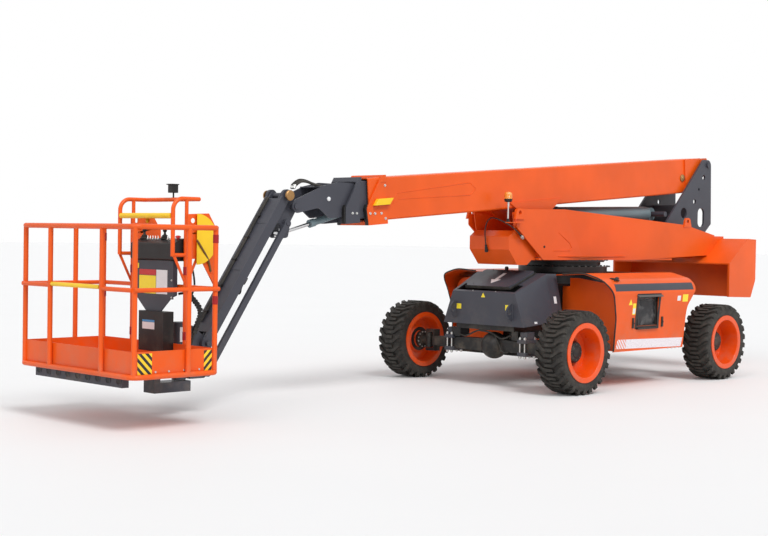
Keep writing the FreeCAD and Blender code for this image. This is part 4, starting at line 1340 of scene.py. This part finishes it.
def jib_details():
    """The jib's closing plates, cylinder pipes, two hoses in clamps and pin bolts."""
    height = jib_height()
    jib_plates(height)
    jib_cylinder_pipes()
    hoses, clamps = Shape(), Shape()
    for y, rise, shift in ((-40, 16, -4), (-60, 14, -2)):
        route = [(60, 14, y), (240, rise, y + shift), (520, 10, y), (1000, 10, y), (1320, 12, y)]
        hoses.hose([on_jib(along, height + above, across) for along, above, across in route], 0.009)
    hoses.made("jib_hoses", "cable_rubber", "jib", "black_parts", 50)
    for along in (250, 470, 700, 960, 1220):
        side = rectangle(lambda a, u: on_jib(a, u, -78), along - 9, along + 9, height - 3, height + 22)
        clamps.slab(side, sideways(0.054))
    clamps.made("jib_clamps", "black_parts", "jib", "black_parts", None, 0.0015)
    ends = [(on_jib(0, 0, sign * 147), sideways(sign)) for _, sign in SIDES]
    bolts("jib_pin_bolts", ends, 0.012, "zinc", "jib", "chrome_rod")


# ---- basket ----

CHAIN_ROUTE = [(5077, 112, 964), (4995, 112, 891), (4979, 112, 819), (5015, 112, 749), (5043, 112, 679)]
PLATFORM_HOSES = [(0.009, [(5043, 112, 679), (5058, 106, 620), (5064, 90, 560), (5056, 66, 520)]),
                  (0.010, [(5077, 112, 964), (5110, 112, 990), (5150, 96, 1000), (5175, 70, 990)]),
                  (0.008, [(5077, 96, 960), (5030, 84, 1010), (5010, 66, 1100), (5030, 60, 1190)])]
SIDE_POSTS = [(5338, 757, 1441), (5338, 757, 974)]
REAR_POSTS = [(5320, 360, 1185), (5320, 360, 676)]
SLEEVE = [(0, 0.0215), (0.001, 0.0225), (0.063, 0.0225), (0.064, 0.0215)]
NOTICE = [("yellow", (-152, 74, 997, 1140), "yellow_plate", "yellow_paint"),
          ("red", (-152, 74, 1144, 1188), "red_plate", "orange_paint"),
          ("white", (80, 227, 997, 1188), "white_plate", "slate_paint"),
          ("small", (-203, -158, 1196, 1236), "yellow_plate", "yellow_paint")]
DOCUMENT_PRINT = [("label", (-39, 124, 717, 772), "white_plate"),
                  ("header", (-39, 124, 774, 790), "blue_plate")]
BOOT = [(-0.004, 0.034), (0.004, 0.034), (0.008, 0.028), (0.014, 0.031), (0.018, 0.022), (0.024, 0.024),
        (0.028, 0.015), (0.036, 0.010), (0.060, 0.008)]
GRIP = [(0, 0.010), (0.006, 0.016), (0.030, 0.019), (0.048, 0.015), (0.054, 0.005)]
SWITCH = [(-0.002, 0.009), (0.003, 0.009), (0.005, 0.0055), (0.007, 0.004), (0.022, 0.0045), (0.026, 0.002)]
BUTTON = [(-0.002, 0.013), (0.010, 0.013), (0.012, 0.022), (0.022, 0.022), (0.028, 0.014), (0.030, 0.004)]
HOLE_RIM = [(-0.002, 0.034), (0.003, 0.034), (0.004, 0.031), (0.003, 0.028), (-0.001, 0.027)]
# A black disc inside each rim: painted shade of the opening's inside.
HOLE_SHADE_DISC = [(-0.002, 0.027), (0.001, 0.027)]


def from_front(y, z):
    """A place in front of the basket, from which lines go backwards to it."""
    return at(5700, y, z)


def rotator_details():
    """The energy chain and hoses beside the rotator, and its white label."""
    route = [at(*place) for place in CHAIN_ROUTE]
    energy_chain("platform_chain", route, 0.026, 0.040, 0.024, "black_parts", "platform_support")
    hoses = Shape()
    for radius, route in PLATFORM_HOSES:
        hoses.hose([at(*place) for place in route], radius)
    hoses.made("platform_hoses", "cable_rubber", "platform_support", "black_parts", 50)
    low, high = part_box("rotator")
    middle = (low[0] + high[0]) / 2 + 0.008
    corners = rectangle(lambda x, z: Vector((middle + x, 0.6, z)), -0.022, 0.022, 0.60, 0.72)
    label = wrap(Shape(), "rotator", corners, sideways(-1))
    label.made("rotator_label", "white_plate", "platform_support", "slate_paint")


def toe_board_stripes():
    """Yellow and black tape at both ends of each side's toe board, outside."""
    ends = (("front", 5912, 6040, "hazard_left"), ("rear", 5362, 5436, "hazard_right"))
    for side, sign in SIDES:
        for end, x0, x1, finish in ends:
            corners = rectangle(lambda x, z: at(x, sign * 1200, z), x0, x1, 438, 596)
            tape = wrap(Shape(), "toe_boards", corners, sideways(-sign), 4, 4)
            tape.made(f"{side}_{end}_stripes", finish, "basket", "yellow_paint")


def red_bands():
    """The red sleeves round the basket's posts."""
    sleeves = Shape()
    for _, sign in SIDES:
        for x, y, z in SIDE_POSTS + REAR_POSTS:
            sleeves.turned(at(x, sign * y, z - 32), UP, SLEEVE, 20)
    sleeves.made("post_bands", "red_paint_and_painted_shade", "basket", "orange_paint", 40)


def notice_fields():
    """The wordless notice on the console's bracket and the two fields on the document box."""
    for name, edges, finish, slot in NOTICE:
        field = wrap(Shape(), "console_bracket", rectangle(from_front, *edges), BACKWARD)
        field.made(f"notice_{name}", finish, "basket", slot)
    for name, edges, finish in DOCUMENT_PRINT:
        field = wrap(Shape(), "document_box", rectangle(from_front, *edges), BACKWARD)
        field.made(f"document_{name}", finish, "basket", "slate_paint")


def console_controls():
    """Two joysticks with rubber boots, a row of switches and the stop button."""
    def on_console(x, y):
        return touch("control_console", at(x, y, 1700), DOWN)

    boots, grips, switches = Shape(), Shape(), Shape()
    for y in (-188, 90):
        spot = on_console(5330, y)
        boots.turned(spot, UP, BOOT, 20)
        grips.turned(spot + UP * 0.050, UP, GRIP, 20)
    for y in (-120, -85, -50, -15, 20, 150, 185, 220):
        switches.turned(on_console(5345, y), UP, SWITCH, 12)
    button = Shape().turned(on_console(5340, 280), UP, BUTTON, 24)
    boots.made("joystick_boots", "cable_rubber", "basket", "black_parts", 40)
    grips.made("joystick_grips", "black_parts", "basket", "black_parts", 40)
    switches.made("console_switches", "zinc", "basket", "chrome_rod", 40)
    button.made("stop_button", "red_plate", "basket", "orange_paint", 40)


def guard_sheets():
    """The sheet guards beside the hoops, with their two holes, brown straps and orange gussets."""
    thick = 0.006
    upper = [(5330, 1475), (5330, 1630), (5222, 1636), (5222, 1560), (5222, 1475)]
    rear = [(5222, 1475), (5222, 1636), (5120, 1640), (5075, 1570), (5050, 1530)]
    lower = [(5330, 1474), (5050, 1529), (5030, 1500), (5030, 1100), (5060, 1060), (5200, 1280), (5330, 1280)]
    gusset = [(5036, 1180), (5036, 1100), (5060, 1066), (5120, 1150)]
    strap = [(5255, 412, 1427), (5215, 414, 1375), (5160, 404, 1310), (5123, 396, 1263), (5100, 390, 1180)]
    sheets, straps, gussets = Shape(), Shape(), Shape()
    for _, sign in SIDES:
        y, across = sign * 380, sideways(sign * thick)
        sheets.holed(in_plane(y, upper), at(5276, y, 1580), 0.020, across)
        sheets.holed(in_plane(y, rear), at(5165, y, 1580), 0.020, across)
        sheets.slab(in_plane(y, lower), across)
        straps.hose([at(x, sign * away, z) for x, away, z in strap], 0.009, 8)
        gussets.slab(in_plane(sign * 387, gusset), across)
    sheets.made("hoop_sheets", "orange_paint", "basket", "orange_paint", None, 0.0006)
    straps.made("hoop_straps", "strap", "basket", "black_parts", 50)
    gussets.made("hoop_gussets", "orange_paint", "basket", "orange_paint", None, 0.0008)


def hoop_braces():
    """The slanting flat braces below both hoops."""
    braces = Shape()
    for _, sign in SIDES:
        for x in (5440, 5216):
            outline = [(x - 14, 1298), (x + 14, 1298), (5336, 1075), (5314, 1075)]
            braces.slab(in_plane(sign * 366, outline), sideways(sign * 0.006))
    braces.made("hoop_braces", "orange_paint", "basket", "orange_paint", None, 0.0008)


def hoop_lamp():
    """The dark work lamp on its stem above the hoops."""
    foot = at(5200, 20, 1768)
    lamp = Shape().rod(foot - UP * 0.012, foot + UP * 0.040, 0.007, 12)
    lamp.block(foot + Vector((-0.026, -0.030, 0.036)), foot + Vector((0.034, 0.030, 0.106)))
    lamp.block(foot + Vector((-0.032, -0.036, 0.100)), foot + Vector((0.046, 0.036, 0.108)))
    lamp.made("hoop_lamp", "black_parts", "basket", "black_parts", None, 0.002)


def bracket_neck():
    """The tapered plate below the console's bracket and the flanges at both of the bracket's edges."""
    face = [(-215, 985), (295, 985), (130, 850), (-50, 850)]
    neck = Shape().slab([at(5398, y, z) for y, z in face], BACKWARD * 0.010)
    flange = [(5392, 1252), (5352, 1252), (5352, 990), (5392, 975)]
    neck.slab(in_plane(-214, flange), sideways(0.006))
    neck.slab(in_plane(294, flange), sideways(-0.006))
    neck.made("bracket_neck", "slate_paint", "basket", "slate_paint", None, 0.0008)


def under_beam_holes():
    """The pressed rims of the round openings along the beam under the basket's front, each with a black disc
    that paints the shade inside the opening.
    """
    beam_front = at(5980, 0, 0).x
    rims, shade_discs = Shape(), Shape()
    for y in range(-690, 431, 140):
        spot = touch("under_beam", at(6200, y, 368), BACKWARD)
        if abs(spot.x - beam_front) > 0.004:
            continue
        rims.turned(spot, FORWARD, HOLE_RIM, 24)
        # The black disc is painted shade, standing for the dark inside of the opening.
        shade_discs.turned(spot, FORWARD, HOLE_SHADE_DISC, 24)
    rims.made("beam_hole_rims", "slate_paint", "basket", "black_parts", 40)
    shade_discs.made("beam_hole_painted_shade", "black_parts", "basket", "black_parts", 40)


def basket_fasteners():
    """The bolts of the toe boards and of the console's bracket."""
    spots = [(touch("toe_boards", at(x, sign * 1200, 455), sideways(-sign)), sideways(sign))
             for _, sign in SIDES for x in (5480, 5620, 5760, 5880)]
    bolts("toe_board_bolts", spots, 0.007, "zinc", "basket", "chrome_rod")
    spots = [(touch("console_bracket", from_front(y, z), BACKWARD), FORWARD)
             for y in (-205, 285) for z in (975, 1110)]
    bolts("bracket_bolts", spots, 0.007, "zinc", "basket", "chrome_rod")


# ---- the scene ----


def make_floor():
    """A pale, plain floor that reaches far beyond the machine."""
    far = 150
    mesh = bpy.data.meshes.new("floor")
    mesh.from_pydata([(-far, -far, 0), (far, -far, 0), (far, far, 0), (-far, far, 0)], [], [(0, 1, 2, 3)])
    floor = placed("floor", mesh)
    finish = Finish("pale_floor")
    mottle = finish.noise(0.6, 2.0)
    finish.set(Base_Color=finish.blend(mottle, colour(0.86, 0.86, 0.86), colour(0.88, 0.88, 0.88)))
    finish.set(Roughness=0.7)
    mesh.materials.append(finish.material)


make_camera()
make_world()
make_sun("key_light", (0.15, 0.62, 0.75), 1.9, 25)
make_sun("front_light", (0.80, 0.25, 0.55), 0.7, 40)
make_floor()
bpy.context.scene.view_settings.view_transform = "Standard"
dress_nodes()
turntable_cable()
tyres()
hub_covers()
hub_studs()
axle_clamps()
steering_hoses()
hood_plates()
tie_down_eyes()
deck_stub()
lid_gap_shade()
lid_arrow()
lid_bolts()
covers()
turntable_details()
slew_bolts()
beacon_lamp()
collar_details()
boom_lines()
nose_hoses()
nose_caps()
jib_details()
rotator_details()
toe_board_stripes()
red_bands()
notice_fields()
console_controls()
guard_sheets()
hoop_braces()
hoop_lamp()
bracket_neck()
under_beam_holes()
basket_fasteners()
